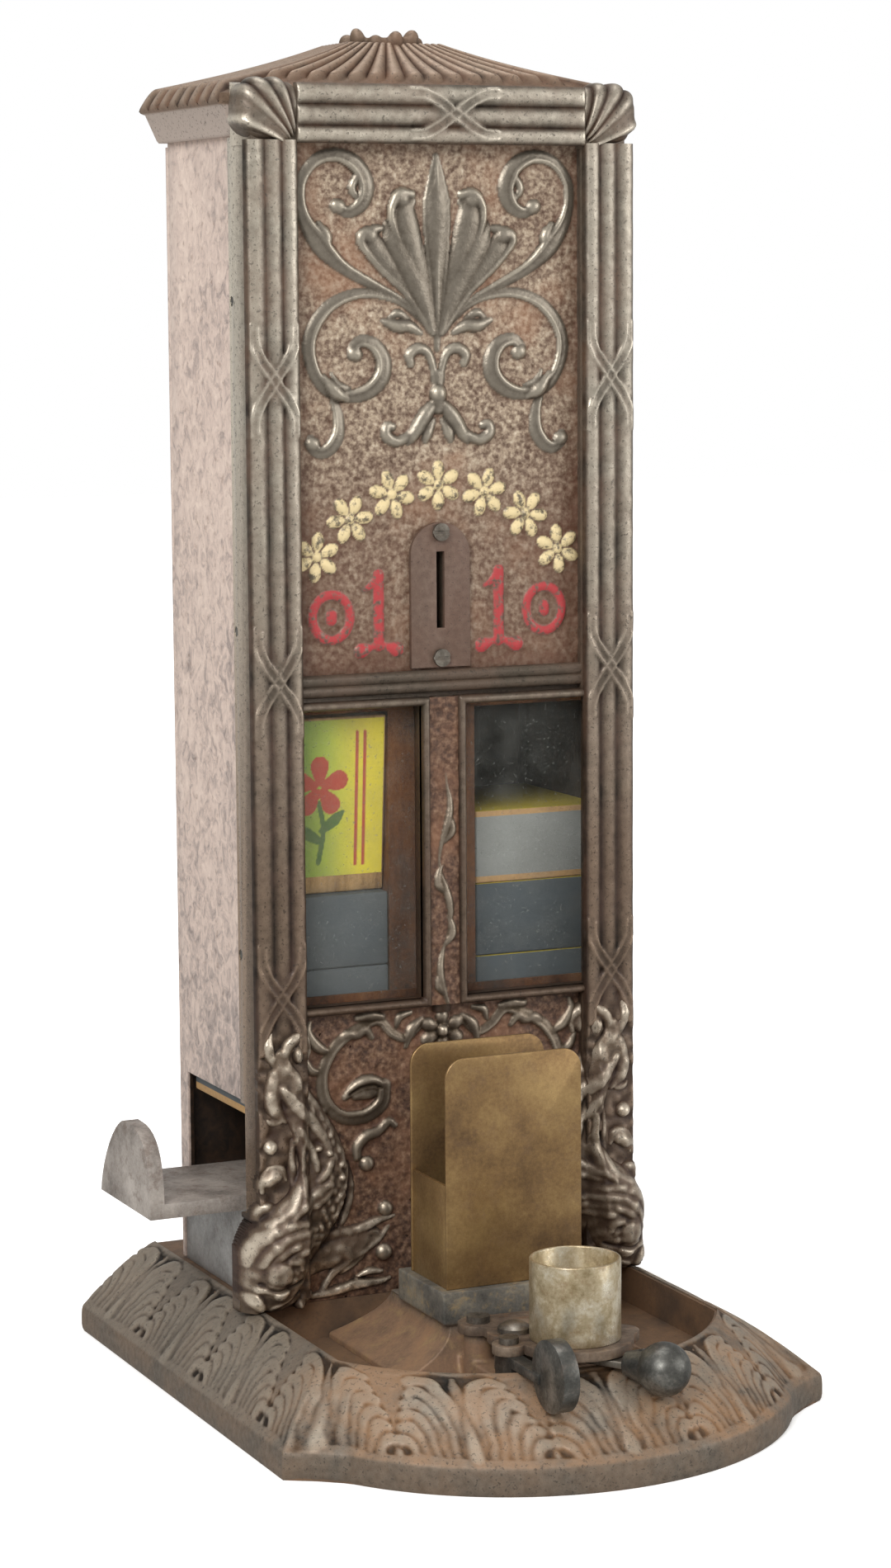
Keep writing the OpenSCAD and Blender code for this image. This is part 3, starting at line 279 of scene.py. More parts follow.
def aged_metal(name, dark, mid, pale, metal, rough, spot, streak=(1.0, 1.0, 1.0), stain=None,
               stain_amount=0.3, foot=None):
    """Handled bare metal: soft tarnish clouds, fine scratches and a few stains.

    Foot, where it is given, is a colour and the heights in millimetres over which it takes over downwards.
    """
    material, tree, output, place = new_material(name)
    stretched = add(tree, "Mapping", {"Vector": place, "Scale": streak})
    cloud = noise(tree, stretched.outputs[0], spot, 6.0, 0.62)
    fine = noise(tree, place, 0.9, 4.0, 0.7)
    level = maths(tree, "MULTIPLY_ADD", fine, 0.35, -0.17)
    tarnish = maths(tree, "ADD", cloud, level)
    colour = ramp(tree, tarnish, [(0.28, dark), (0.5, mid), (0.72, pale)])
    metallic = metal
    if foot:
        height = add(tree, "SeparateXYZ", {"Vector": place}).outputs["Z"]
        down = spread(tree, height, low=foot[1] * MM, high=foot[2] * MM, most=0.8)
        patchy = maths(tree, "MULTIPLY", tarnish, 1.4, clamp=True)
        rusted = maths(tree, "MULTIPLY", down, patchy)
        colour = mix(tree, rusted, colour, foot[0])
    if stain:
        blot = noise(tree, place, 4.5, 7.0, 0.75)
        where = ramp(tree, blot, [(0.52, 0.0), (0.66, stain_amount)])
        colour = mix(tree, where, colour, stain)
        metallic = spread(tree, where, least=metal, most=0.1)
    shine = spread(tree, tarnish, low=0.25, high=0.75, least=min(1.0, rough + 0.18), most=rough - 0.08)
    bump = bumps(tree, fine, 0.3, 0.06)
    surface(tree, output, {"Base Color": colour, "Metallic": metallic, "Roughness": shine, "Normal": bump})
    return material


def dusty_glass(name):
    """Old window glass: clear, with a thin uneven film of dust and pale specks."""
    material, tree, output, place = new_material(name)
    film = noise(tree, place, 9, 7.0, 0.68)
    grit = noise(tree, place, 0.8, 2.0, 0.5)
    cover = spread(tree, film, low=0.4, high=0.75, least=0.04, most=0.2)
    specks = spread(tree, grit, low=0.66, high=0.74, most=0.4)
    alpha = maths(tree, "ADD", cover, specks, clamp=True)
    surface(tree, output, {"Base Color": "#7d7d77", "Roughness": 0.3, "Alpha": alpha,
                           "Specular IOR Level": 0.3})
    return material


def printed_card(name, face, pale, upper=None, cover=None):
    """Match boxes in a stack: printed card, with the pale veneer of the lowest box and of the highest.

    The boxes repeat along Z; upper is the colour of the highest box and cover that of its label.
    """
    material, tree, output, place = new_material(name)
    low, tall = STACK_FOOT * MM, BOX_TALL * MM
    height = add(tree, "SeparateXYZ", {"Vector": place}).outputs["Z"]
    level = maths(tree, "MULTIPLY_ADD", height, 1 / tall, -low / tall)
    fibre = noise(tree, place, 1.2, 5.0, 0.65)
    cloud = noise(tree, place, 12, 5.0, 0.65)
    tone = mix(tree, cloud, face, pale)
    foot = maths(tree, "COMPARE", level, 0.05, 0.06)
    if upper:
        high = maths(tree, "GREATER_THAN", level, 3.0)
        tone = mix(tree, high, tone, upper)
        up = add(tree, "SeparateXYZ", {"Vector": add(tree, "TexCoord").outputs["Normal"]}).outputs["Z"]
        lid = maths(tree, "GREATER_THAN", up, 0.7)
        tone = mix(tree, lid, tone, cover)
        middle = maths(tree, "SUBTRACT", level, 3.5)
        reach = maths(tree, "ABSOLUTE", middle)
        strips = maths(tree, "COMPARE", reach, 0.46, 0.05)
        flank = maths(tree, "SUBTRACT", strips, lid, clamp=True)
        foot = maths(tree, "MAXIMUM", foot, flank)
    wood = mix(tree, fibre, "#d2ab75", "#9a7446")
    colour = mix(tree, foot, tone, wood)
    bump = bumps(tree, fibre, 0.3, 0.08)
    surface(tree, output, {"Base Color": colour, "Roughness": 0.72, "Normal": bump})
    return material


def label_print(name):
    """A plain printed label: green running to yellow, with a red flower, green leaves and red rules."""
    material, tree, output, place = new_material(name)
    run = point_value(tree, "run")
    red = point_value(tree, "red")
    leaf = point_value(tree, "leaf")
    fibre = noise(tree, place, 1.4, 5.0, 0.65)
    ground = ramp(tree, run, [(0.3, "#5f8f3a"), (0.55, "#a9bd3c"), (0.8, "#e6d52f")])
    stem = mix(tree, leaf, ground, "#3f6a2f")
    ink = mix(tree, red, stem, "#b5302a")
    worn = maths(tree, "MULTIPLY", fibre, 0.25)
    colour = mix(tree, worn, ink, "#cdbb86")
    surface(tree, output, {"Base Color": colour, "Roughness": 0.6})
    return material


FINISH = {}


def make_finishes():
    """All finishes of the machine, once."""
    FINISH.update(
        tower=cast_iron("bronzed_cast_iron", "#261f18", "#736b5f", "#dcd2c0", "#6a4c37", 0.5, 0.6, 0.34,
                        foot_tint="#997860"),
        dolphin=cast_iron("dark_bronzed_casting", "#251c16", "#746453", "#e0d2bd", "#55392a", 0.5, 0.6, 0.34,
                          grain=0.25),
        plate=cast_iron("brown_worn_plate", "#3c2c24", "#6f5b4f", "#a8917f", "#5a3825", 0.5, 0.4, 0.45),
        field=painted_field("pebbled_gilt_field", ("#533c2c", "#7a6655", "#a5927c", "#cbbca6"),
                            ("#332921", "#6b6256", "#968d7f", "#d3c8b4"), 0.0),
        low_field=painted_field("brown_pebbled_field", ("#38281f", "#573f30", "#775b47", "#9b8067"),
                                ("#261e18", "#554839", "#827566", "#c9bba6"), 0.03),
        roof=cast_iron("brown_cast_iron", "#33271f", "#796655", "#ab9581", "#7d573d", 0.5, 0.4, 0.48,
                       paint="#b3a499"),
        border=cast_iron("rust_dusted_cast_iron", "#1d1812", "#7d7265", "#a99d8b", "#a67a50", 0.8, 0.45, 0.42,
                         dust_by="dust"),
        base=cast_iron("brown_rusty_cast_iron", "#5f4e40", "#9a8570", "#bba68e", "#94704f", 0.5, 0.3, 0.45,
                       grain=0.25),
        sheet=mottled_sheet("mottled_painted_sheet"),
        housing=aged_metal("smooth_grey_cast_iron", "#6d6b69", "#9d9b98", "#bfbdbb", 0.45, 0.42, 22.0,
                           stain="#5c4636", stain_amount=0.4),
        slide=aged_metal("worn_slide_iron", "#706861", "#a0978f", "#bfb6ad", 0.35, 0.46, 14.0,
                         stain="#5f4838", stain_amount=0.6),
        rust=aged_metal("rusty_tinplate", "#3b2415", "#6f4526", "#94653a", 0.3, 0.62, 12.0,
                        streak=(1, 1, 0.2), stain="#3a2215", stain_amount=0.6),
        steel=aged_metal("dull_steel", "#4a453f", "#7d766c", "#a29b90", 0.9, 0.4, 5.0, stain="#5d432d"),
        dark=aged_metal("oxidised_steel", "#3a3936", "#61605b", "#96948d", 0.75, 0.34, 9.0,
                        stain="#5a4232", stain_amount=0.35),
        brass=aged_metal("brown_brass_sheet", "#604a36", "#94764f", "#b99a68", 0.72, 0.34, 24.0,
                         stain="#5f4735", stain_amount=0.35),
        lock=aged_metal("lock_brass", "#6a5228", "#96783f", "#b89a5a", 0.95, 0.35, 6.0),
        nickel=aged_metal("worn_nickel_plate", "#86734f", "#c3b393", "#f3ecd8", 0.75, 0.3, 7.0,
                          stain="#7a6140", stain_amount=0.7),
        table=aged_metal("brown_rusted_iron", "#40352d", "#675749", "#8a7866", 0.3, 0.56, 6.0,
                         stain="#7d5a3c", stain_amount=0.5),
        pedestal=aged_metal("rust_washed_iron", "#4a4843", "#6d6961", "#978f7e", 0.3, 0.52, 11.0,
                            stain="#a98f63", stain_amount=0.6, foot=("#ab7f5b", 25.5, 21.5)),
        glass=dusty_glass("dusty_window_glass"),
        stock=printed_card("slate_printed_card", "#4a5052", "#63696b"),
        right_stock=printed_card("slate_and_grey_printed_card", "#3b4347", "#525a5e", "#8f918c", "#b3a02c"),
        veneer=aged_metal("pale_wood_veneer", "#8a6a44", "#b8935f", "#d2ab75", 0.0, 0.7, 3.0,
                          streak=(1, 1, 0.15)),
        label=label_print("flower_label"),
    )


# Cast relief, worked in millimetres

def path_through(points, step=0.3):
    """A smooth path of (x, z, radius) through the given points."""
    pts = np.array(points, float)
    ends = np.vstack([2 * pts[0] - pts[1], pts, 2 * pts[-1] - pts[-2]])
    runs = []
    for a, b, c, d in zip(ends[:-3], ends[1:-2], ends[2:-1], ends[3:]):
        n = max(2, int(np.hypot(*(c - b)[:2]) / step))
        t = np.linspace(0, 1, n, endpoint=False)[:, None]
        bend = 2 * a - 5 * b + 4 * c - d
        sway = 3 * b - a - 3 * c + d
        runs.append(0.5 * (2 * b + (c - a) * t + bend * t ** 2 + sway * t ** 3))
    runs.append(pts[-1:])
    path = np.vstack(runs)
    path[:, 2] = np.maximum(path[:, 2], 0.12)
    return path


def blurred(values, cells):
    """A soft copy of a height field, over a number of cells each way."""
    reach = int(max(1, round(cells * 2)))
    weights = np.exp(-0.5 * (np.arange(-reach, reach + 1) / max(cells, 0.3)) ** 2)
    weights /= weights.sum()
    for axis in (0, 1):
        padded = np.pad(values, [(reach, reach) if a == axis else (0, 0) for a in (0, 1)], mode="edge")
        n = values.shape[axis]
        values = sum(w * np.take(padded, range(i, i + n), axis=axis) for i, w in enumerate(weights))
    return values


class Relief:
    """A height field over a flat patch, built from rounded strokes as a pattern maker builds up wax."""

    def __init__(self, low, high, pitch):
        self.pitch = pitch
        self.x = np.linspace(low[0], high[0], int(round((high[0] - low[0]) / pitch)) + 1)
        self.z = np.linspace(low[1], high[1], int(round((high[1] - low[1]) / pitch)) + 1)
        self.X, self.Z = np.meshgrid(self.x, self.z)
        self.h = np.zeros_like(self.X)

    def around(self, x, z, r):
        """The rows and columns within r of a point."""
        c = np.searchsorted(self.x, [x - r, x + r])
        k = np.searchsorted(self.z, [z - r, z + r])
        return slice(k[0], k[1]), slice(c[0], c[1])

    def stroke(self, points, rise, both=False, into=None):
        """Raises a rounded stroke through (x, z, radius[, lift]) points, and its mirror image if both."""
        field = self.h if into is None else into
        for side in ((1, -1) if both else (1,)):
            for x, z, r, *lift in path_through(points):
                win = self.around(side * x, z, r)
                d2 = (self.X[win] - side * x) ** 2 + (self.Z[win] - z) ** 2
                dome = np.sqrt(np.clip(1 - d2 / (r * r), 0, 1))
                low = lift[0] * (dome > 0) if lift else 0.0
                np.maximum(field[win], low + rise * r * dome, out=field[win])

    def beside(self, points, share):
        """The path along a stroke's left (positive) or right edge, with the stroke's radius."""
        body = path_through(points, 0.7)
        ahead = np.gradient(body[:, :2], axis=0)
        ahead /= np.maximum(np.hypot(*ahead.T), 1e-6)[:, None]
        left = np.column_stack([-ahead[:, 1], ahead[:, 0]])
        return body[:, :2] + share * left * body[:, 2:3], body[:, 2]

    def ribbon(self, points, rise, edge, both=False):
        """A scroll's band: a low body with a raised rim along its left (1) or right (-1) edge."""
        self.stroke(points, rise * 0.6, both)
        line, width = self.beside(points, edge * 0.52)
        self.stroke(np.column_stack([line, np.clip(width * 0.42, 0.4, 0.85), width * 0.38]), rise, both)

    def groove(self, points, depth, both=False):
        """Sinks a soft groove along (x, z, width) points."""
        cut = np.zeros_like(self.h)
        for side in ((1, -1) if both else (1,)):
            for x, z, w in path_through(points):
                win = self.around(side * x, z, 3 * w)
                d2 = (self.X[win] - side * x) ** 2 + (self.Z[win] - z) ** 2
                np.maximum(cut[win], np.exp(-d2 / (w * w)), out=cut[win])
        self.h -= depth * cut * np.clip(self.h / max(depth, 0.01), 0, 1)

    def reed(self, off, half):
        """Raises a half round reed; off is how far each point lies from its middle line."""
        np.maximum(self.h, 0.1 + np.sqrt(np.clip(1 - (off / half) ** 2, 0, 1)), out=self.h)

    def wear_and_light(self, reach=1.1, gain=0.55):
        """How far each point stands above its surroundings, from 0 to 1."""
        return np.clip(0.42 + gain * (self.h - blurred(self.h, reach / self.pitch)), 0, 1)

    def raised(self, least):
        """The cells that stand above the ground."""
        h = self.h
        return np.maximum(np.maximum(h[:-1, :-1], h[1:, 1:]), np.maximum(h[:-1, 1:], h[1:, :-1])) > least


def new_piece(name, data):
    """An object in the scene for a mesh, a lamp or a camera."""
    piece = bpy.data.objects.new(name, data)
    bpy.context.scene.collection.objects.link(piece)
    return piece


def points_of(piece):
    """A piece's points in millimetres."""
    places = np.zeros(len(piece.data.vertices) * 3)
    piece.data.vertices.foreach_get("co", places)
    return places.reshape(-1, 3) / MM


def move_points(piece, points):
    """Puts a piece's points at places in millimetres."""
    piece.data.vertices.foreach_set("co", (points * MM).ravel())


def write_value(mesh, name, values):
    """Writes one value on each point, for a finish to read."""
    layer = mesh.attributes.get(name) or mesh.attributes.new(name, "FLOAT", "POINT")
    layer.data.foreach_set("value", np.asarray(values, np.float32).ravel())


def only(piece):
    """Selects one piece alone and makes it active."""
    bpy.ops.object.select_all(action="DESELECT")
    piece.select_set(True)
    bpy.context.view_layer.objects.active = piece


def edit(piece, *steps):
    """Runs mesh operators on all of a piece; each step is an operator's name and its settings."""
    only(piece)
    bpy.ops.object.mode_set(mode="EDIT")
    bpy.ops.mesh.select_all(action="SELECT")
    for name, settings in steps:
        getattr(bpy.ops.mesh, name)(**settings)
    bpy.ops.object.mode_set(mode="OBJECT")


def apply_modifier(piece, kind, **settings):
    """Adds a modifier with the given settings and applies it."""
    only(piece)
    modifier = piece.modifiers.new(kind.lower(), kind)
    for key, value in settings.items():
        setattr(modifier, key, value)
    bpy.ops.object.modifier_apply(modifier=modifier.name)


def closed_sheet(name, front, back, keep=None, values=None, turn=False, step=1):
    """A closed mesh between two grids of points in millimetres, over the cells to keep.

    The back, which nothing shows, has larger cells, each behind step cells of the front both ways.
    """
    rows, cols = front.shape[:2]
    far = rows * cols
    ids = np.arange(far).reshape(rows, cols)
    down = np.append(np.arange(0, rows - 1, step), rows - 1)
    across = np.append(np.arange(0, cols - 1, step), cols - 1)
    keep = np.ones((rows - 1, cols - 1), bool) if keep is None else keep
    strips = np.logical_and.reduceat(keep, down[:-1], axis=0)
    blocks = np.logical_and.reduceat(strips, across[:-1], axis=1)
    keep = np.repeat(np.repeat(blocks, np.diff(down), axis=0), np.diff(across), axis=1)
    seen = np.stack([ids[:-1, :-1], ids[:-1, 1:], ids[1:, 1:], ids[1:, :-1]], -1)[keep]
    rear = ids[np.ix_(down, across)] + far
    behind = np.stack([rear[1:, :-1], rear[1:, 1:], rear[:-1, 1:], rear[:-1, :-1]], -1)[blocks]
    quads = np.vstack([seen, behind])
    ring = np.pad(blocks, 1)
    inner = ring[:-2, 1:-1] & ring[2:, 1:-1] & ring[1:-1, :-2] & ring[1:-1, 2:]
    rims = []
    for i, j in np.argwhere(blocks & ~inner):
        tall, wide = slice(down[i], down[i + 1] + 1), slice(across[j], across[j + 1] + 1)
        sides = (
            (ring[i, j + 1], ids[down[i], wide]),
            (ring[i + 1, j + 2], ids[tall, across[j + 1]]),
            (ring[i + 2, j + 1], ids[down[i + 1], wide][::-1]),
            (ring[i + 1, j], ids[tall, across[j]][::-1]),
        )
        rims += [[*line[::-1], line[0] + far, line[-1] + far] for joined, line in sides if not joined]
    used = np.unique(np.concatenate([quads.ravel()] + rims))
    fresh = np.zeros(2 * far, int)
    fresh[used] = np.arange(len(used))
    faces = fresh[quads].tolist() + [fresh[rim].tolist() for rim in rims]
    if turn:
        faces = [face[::-1] for face in faces]
    points = np.vstack([front.reshape(-1, 3), back.reshape(-1, 3)]) * MM
    mesh = bpy.data.meshes.new(name)
    mesh.from_pydata(points[used].tolist(), [], faces)
    for key, value in (values or {}).items():
        write_value(mesh, key, np.concatenate([value.ravel(), value.ravel()])[used])
    mesh.update()
    return new_piece(name, mesh)


def settle(piece, body, finish, replaces=(), angle=40):
    """Shades a finished piece, gives it its finish and seats it on its body."""
    only(piece)
    bpy.ops.object.shade_smooth_by_angle(angle=math.radians(angle))
    piece.data.materials.clear()
    piece.data.materials.append(FINISH[finish])
    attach(piece, body)
    if replaces:
        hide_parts(*replaces)
    return piece


def softened(node, width, body, finish, segments=2, shape=None):
    """A copy of a CAD node with its edges rounded over by width millimetres, in the node's place.

    Shape, where it is given, moves the copy's points in millimetres first.
    """
    piece = new_piece(node + "_finished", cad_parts[node].data.copy())
    if shape:
        move_points(piece, shape(points_of(piece)))
    edit(piece, ("remove_doubles", {"threshold": 0.01 * MM}),
         ("dissolve_degenerate", {"threshold": 0.01 * MM}),
         ("dissolve_limited", {"angle_limit": math.radians(0.5)}))
    apply_modifier(piece, "BEVEL", width=width * MM, segments=segments, limit_method="ANGLE",
                   angle_limit=math.radians(30))
    write_value(piece.data, "wear_and_light", np.full(len(piece.data.vertices), 0.46))
    return settle(piece, body, finish, (node,))


def front_sheet(name, relief, y_face, keep=None, y_back=None, values=None, step=1):
    """A relief on a face that looks to the front, closed behind."""
    y_back = y_face + 0.8 if y_back is None else y_back
    front = np.stack([relief.X, y_face - relief.h, relief.Z], -1)
    back = np.stack([relief.X, np.full_like(relief.X, y_back), relief.Z], -1)
    return closed_sheet(name, front, back, keep, values, step=step)


# Pieces

class VendorSizes(bpy.types.PropertyGroup):
    """Sizes of the ornament that a user would change."""

    field_y: bpy.props.FloatProperty(name="Field depth", description="Y of the tower's flat field",
                                     default=17.5 * MM, unit="LENGTH")
    ornament_rise: bpy.props.FloatProperty(name="Ornament rise",
                                           description="Height of a stroke per unit of its half width",
                                           default=0.95, min=0.2, max=2.0)
    relief_pitch: bpy.props.FloatProperty(name="Relief pitch", description="Spacing of the relief's points",
                                          default=0.36 * MM, unit="LENGTH")
    front_flutes: bpy.props.IntProperty(name="Front flutes",
                                        description="Flutes on the roof's front and back",
                                        default=15, min=5, max=40)
    side_flutes: bpy.props.IntProperty(name="Side flutes", description="Flutes on each side of the roof",
                                       default=8, min=3, max=30)
    motif: bpy.props.FloatProperty(name="Border motif",
                                   description="Width of one leaf motif on the base's border",
                                   default=DRAWN_MOTIF * MM, unit="LENGTH")
    border_carving: bpy.props.FloatProperty(name="Border carving",
                                            description="Depth of the border's carving",
                                            default=1.1 * MM, unit="LENGTH")


class VendorStage(bpy.types.PropertyGroup):
    """Light and floor."""

    floor_colour: bpy.props.FloatVectorProperty(name="Floor colour",
                                                description="Colour of the floor and backdrop",
                                                default=linear("#f4f3f1")[:3], subtype="COLOR", min=0.0,
                                                max=1.0)
    key_power: bpy.props.FloatProperty(name="Key light", description="Power of the key light", default=18.0,
                                       unit="POWER")
    fill_power: bpy.props.FloatProperty(name="Fill light", description="Power of the fill light",
                                        default=7.0, unit="POWER")


def palmette(relief, rise):
    """The upper ornament: palmette, S-scrolls, C-scrolls and hanging leaf, as the field is symmetric."""
    masses = [
        [(-1.2, 263, 1.6), (-5.6, 274, 3.2), (-10.6, 283, 3.6), (-12.6, 288, 2.0)],
        [(-1, 262, 1.2), (-4.6, 275, 2.7), (-8.2, 286.5, 3.9), (-9, 292, 3.2), (-7.6, 295, 1.6)],
        [(-2, 262.5, 1.0), (-7.6, 272, 2.0), (-13.4, 279, 3.0), (-17, 283.4, 2.9), (-16.6, 286, 1.4)],
    ]
    for line in masses:
        relief.stroke(line, rise * 0.5, both=True)
    rims = [
        [(-1.2, 262, .7, .5), (-3.6, 270, .8, .6), (-7.4, 279, .85, .8), (-11.6, 287, .9, 1.1),
         (-12.4, 292, 1.1, 1.2), (-10, 295.6, 1.6, .8), (-6.6, 295.6, 1.2, .3)],
        [(-.8, 263, .5, .5), (-3.4, 274, .6, .7), (-6.0, 283, .65, .9), (-7.2, 290, .6, .9),
         (-6, 294, .5, .5)],
        [(-2, 262.5, .7, .4), (-7.7, 270.6, .8, .5), (-14.7, 277.2, .9, .7), (-19.7, 282.6, 1.0, .8),
         (-20.2, 285.4, 1.6, .5), (-17.6, 286.9, 1.3, .4), (-15, 287.4, .9, .2)],
        [(-2, 264.5, .5, .4), (-8, 273.4, .6, .6), (-13.4, 280, .65, .7), (-15.8, 284, .55, .6)],
    ]
    for line in rims:
        relief.stroke(line, rise * 0.8, both=True)
    bands = [
        ([(-2.6, 263.5, .8), (-9.5, 269.6, 1.2), (-17, 273.6, 1.4), (-25, 278, 1.7), (-31, 283.6, 2.6),
          (-35.4, 290.6, 1.7), (-36, 298, 1.5), (-32.2, 303.4, 1.6), (-26.6, 304.9, 1.8),
          (-21.4, 302.6, 2.2), (-18.9, 298, 2.4), (-19.8, 293.6, 2.0), (-23.6, 291.2, 1.5),
          (-26.7, 292.9, 1.3)], -1),
        ([(-4.5, 266.6, .9), (-12, 270.6, 1.2), (-20, 271.8, 1.4), (-27.4, 269.6, 1.6), (-32.2, 265, 1.8),
          (-34.3, 259, 1.8), (-32.7, 252.4, 1.7), (-29, 248.2, 1.7), (-24, 246.8, 1.7), (-18.8, 248, 2.1),
          (-15.2, 251.4, 2.4), (-14.7, 255.6, 2.3), (-17, 259.2, 1.9), (-20.6, 260.2, 1.6),
          (-22.9, 258.2, 1.4), (-22, 256.4, 1.3)], 1),
        ([(-28.2, 247, 1.1), (-26.8, 242.5, 1.5), (-26.8, 238, 1.9), (-28.8, 234.6, 1.9),
          (-31.6, 233.3, 1.6), (-34, 234.9, 1.4), (-34, 236.6, 1.3)], -1),
    ]
    for line, edge in bands:
        relief.ribbon(line, rise, edge, both=True)
    lines = [
        [(-20.4, 301, 1.0, .4), (-22.6, 297.4, 1.2, .4), (-21.4, 294.6, .8, .4)],
        [(-31.4, 288.6, .7, .4), (-29.4, 285.4, 1.5, .4), (-29.8, 281.6, .9, .4)],
        [(-30.5, 251.6, .8, .5), (-27.6, 248, 1.8, .5), (-24.4, 246.2, .9, .4)],
        [(-28.4, 252.2, .6, .3), (-26.4, 249.6, 1.0, .3), (-23.6, 248.8, .5, .3)],
        [(-4.4, 262, .8), (-7.6, 263.6, 1.6), (-11, 263.8, 1.7), (-14.6, 265, .7)],
        [(-7.6, 265.4, .6), (-10.6, 266.8, 1.2), (-12.8, 265.8, .7)],
        [(-.6, 248, 1.1), (-1.2, 253.6, 1.1), (-2.7, 257.2, 1.3), (-5.3, 258.2, 1.5), (-7.5, 256.7, 1.5),
         (-7.2, 254.6, 1.2)],
        [(-.8, 245, 1.4), (-3.8, 241.6, 2.1), (-6.6, 237.4, 1.8), (-8.2, 235, .6)],
        [(-1.2, 240.6, .8), (-2.8, 237.6, 1.5), (-3.4, 235.8, 1.0)],
        [(-5.6, 240, .9), (-8.6, 236.6, 1.3), (-11.6, 235.7, 1.5), (-14, 237.2, 1.6), (-13.8, 239.3, 1.4),
         (-12.2, 239.2, 1.1)],
    ]
    for line in lines:
        relief.stroke(line, rise, both=True)
    for x, z, r in ((-9.8, 294.6, 2.5), (-18.2, 285.8, 2.3), (-26.3, 292.8, 1.9), (-22.2, 257.2, 1.9),
                    (-33.6, 235.6, 1.8)):
        relief.stroke([(x - .3, z, r), (x + .3, z - .2, r)], rise * 0.85, both=True)
    relief.stroke([(0, 305.4, .4), (0, 300, 1.9), (0, 293, 3.6), (0, 285, 3.2), (0, 275, 2.2),
                   (0, 266, 1.5), (0, 258, 1.0)], rise * 0.5)
    relief.stroke([(0, 305.4, .4, .2), (0, 298, .6, 1.0), (0, 288, .6, 1.2), (0, 272, .6, .8),
                   (0, 262, .5, .4)], rise * 0.7)
    relief.stroke([(-.4, 305, .4, .2), (-1.9, 299.4, .5, .5), (-3.3, 293, .55, .6), (-3.0, 285, .55, .6),
                   (-2, 275, .5, .6), (-1, 265, .4, .5)], rise * 0.8, both=True)
    relief.stroke([(0, 252, 1.3), (0, 248.4, 1.2), (0, 247.2, 2.4), (0, 246, 2.1), (0, 243.6, 1.7)], rise)


def arch_rosettes(relief, into):
    """Seven six-petalled rosettes on an arch over the coin plate, raised on the bare field."""
    arch, middle_z = 40.6, 184
    outline = ((1.7, .7), (3.4, 1.55), (4.6, 1.5), (5.5, .8))
    for k in range(7):
        turn = math.radians(-54 + 18 * k)
        x, z = arch * math.sin(turn), middle_z + arch * math.cos(turn)
        for petal in range(6):
            a = turn + math.radians(60 * petal)
            line = [(x + reach * math.sin(a), z + reach * math.cos(a), r) for reach, r in outline]
            relief.stroke(line, 0.85, into=into)
        relief.stroke([(x, z, 1.3), (x, z + .1, 1.3)], 1.1, into=into)


def numerals(relief, into):
    """A plain numeral one and a ring on each side of the coin plate."""
    round_the_ring = np.linspace(0, 2 * math.pi, 17)
    for side in (-1, 1):
        x = side * 16.4
        relief.stroke([(x - 3.8, 199.4, .8), (x - 1.6, 200.8, 1.1), (x, 203.2, 1.2)], 0.7, into=into)
        relief.stroke([(x, 203, 1.6), (x, 194, 1.6), (x, 185.6, 1.6)], 0.62, into=into)
        relief.stroke([(x - 4.8, 184.4, 2.0), (x - 2.2, 185.2, 1.2), (x, 185.8, 1.3), (x + 2.2, 185.2, 1.2),
                       (x + 4.8, 184.4, 2.0)], 0.55, into=into)
        x = side * 29
        ring = [(x + 5 * math.sin(a), 193 + 5.6 * math.cos(a), 1.35) for a in round_the_ring]
        relief.stroke(ring, 0.62, into=into)
        relief.stroke([(x, 193.6, 1.7), (x, 192.4, 1.7)], 0.5, into=into)


def pebbles(relief, seed, size=0.55, height=0.42):
    """The field's cast pebble grain."""
    soft = blurred(np.random.default_rng(seed).normal(size=relief.h.shape), size / relief.pitch)
    return height * np.clip(soft / soft.std() * 0.28 + 0.45, 0, 1)


def tucked_corners(points):
    """The front casting's corner blocks, drawn in behind the leaves and dolphins that cover them."""
    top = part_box("front_casting")[1].z / MM
    column, depth, leaf_tall, dolphin_brow = 38.0, 18.0, 15.1, 42.0
    flank, face, crest = 50.0, 13.6, top - 2.5
    corner = (np.abs(points[:, 0]) > column) & (points[:, 1] < depth)
    upper, lower = corner & (points[:, 2] > top - leaf_tall), corner & (points[:, 2] < dolphin_brow)
    tucked = points.copy()
    tucked[:, 0] = np.sign(points[:, 0]) * np.minimum(np.abs(points[:, 0]), flank)
    tucked[:, 1] = np.maximum(points[:, 1], face)
    tucked[:, 2] = np.minimum(points[:, 2], crest)
    return np.where((upper | lower)[:, None], tucked, points)


def field_values(relief, raised, near, cream=None, red=None):
    """What the field's finish reads: bare field, rubbed ridges, painted shade beside them, and enamel."""
    values = {"field": 1 - np.clip((raised - 0.12) / 0.3, 0, 1), "wear_and_light": relief.wear_and_light(),
              "near": np.clip(near, 0, 1)}
    for name, enamel in (("cream", cream), ("red", red)):
        values[name] = np.zeros_like(raised) if enamel is None else np.clip((enamel - 0.3) / 0.3, 0, 1)
    return values


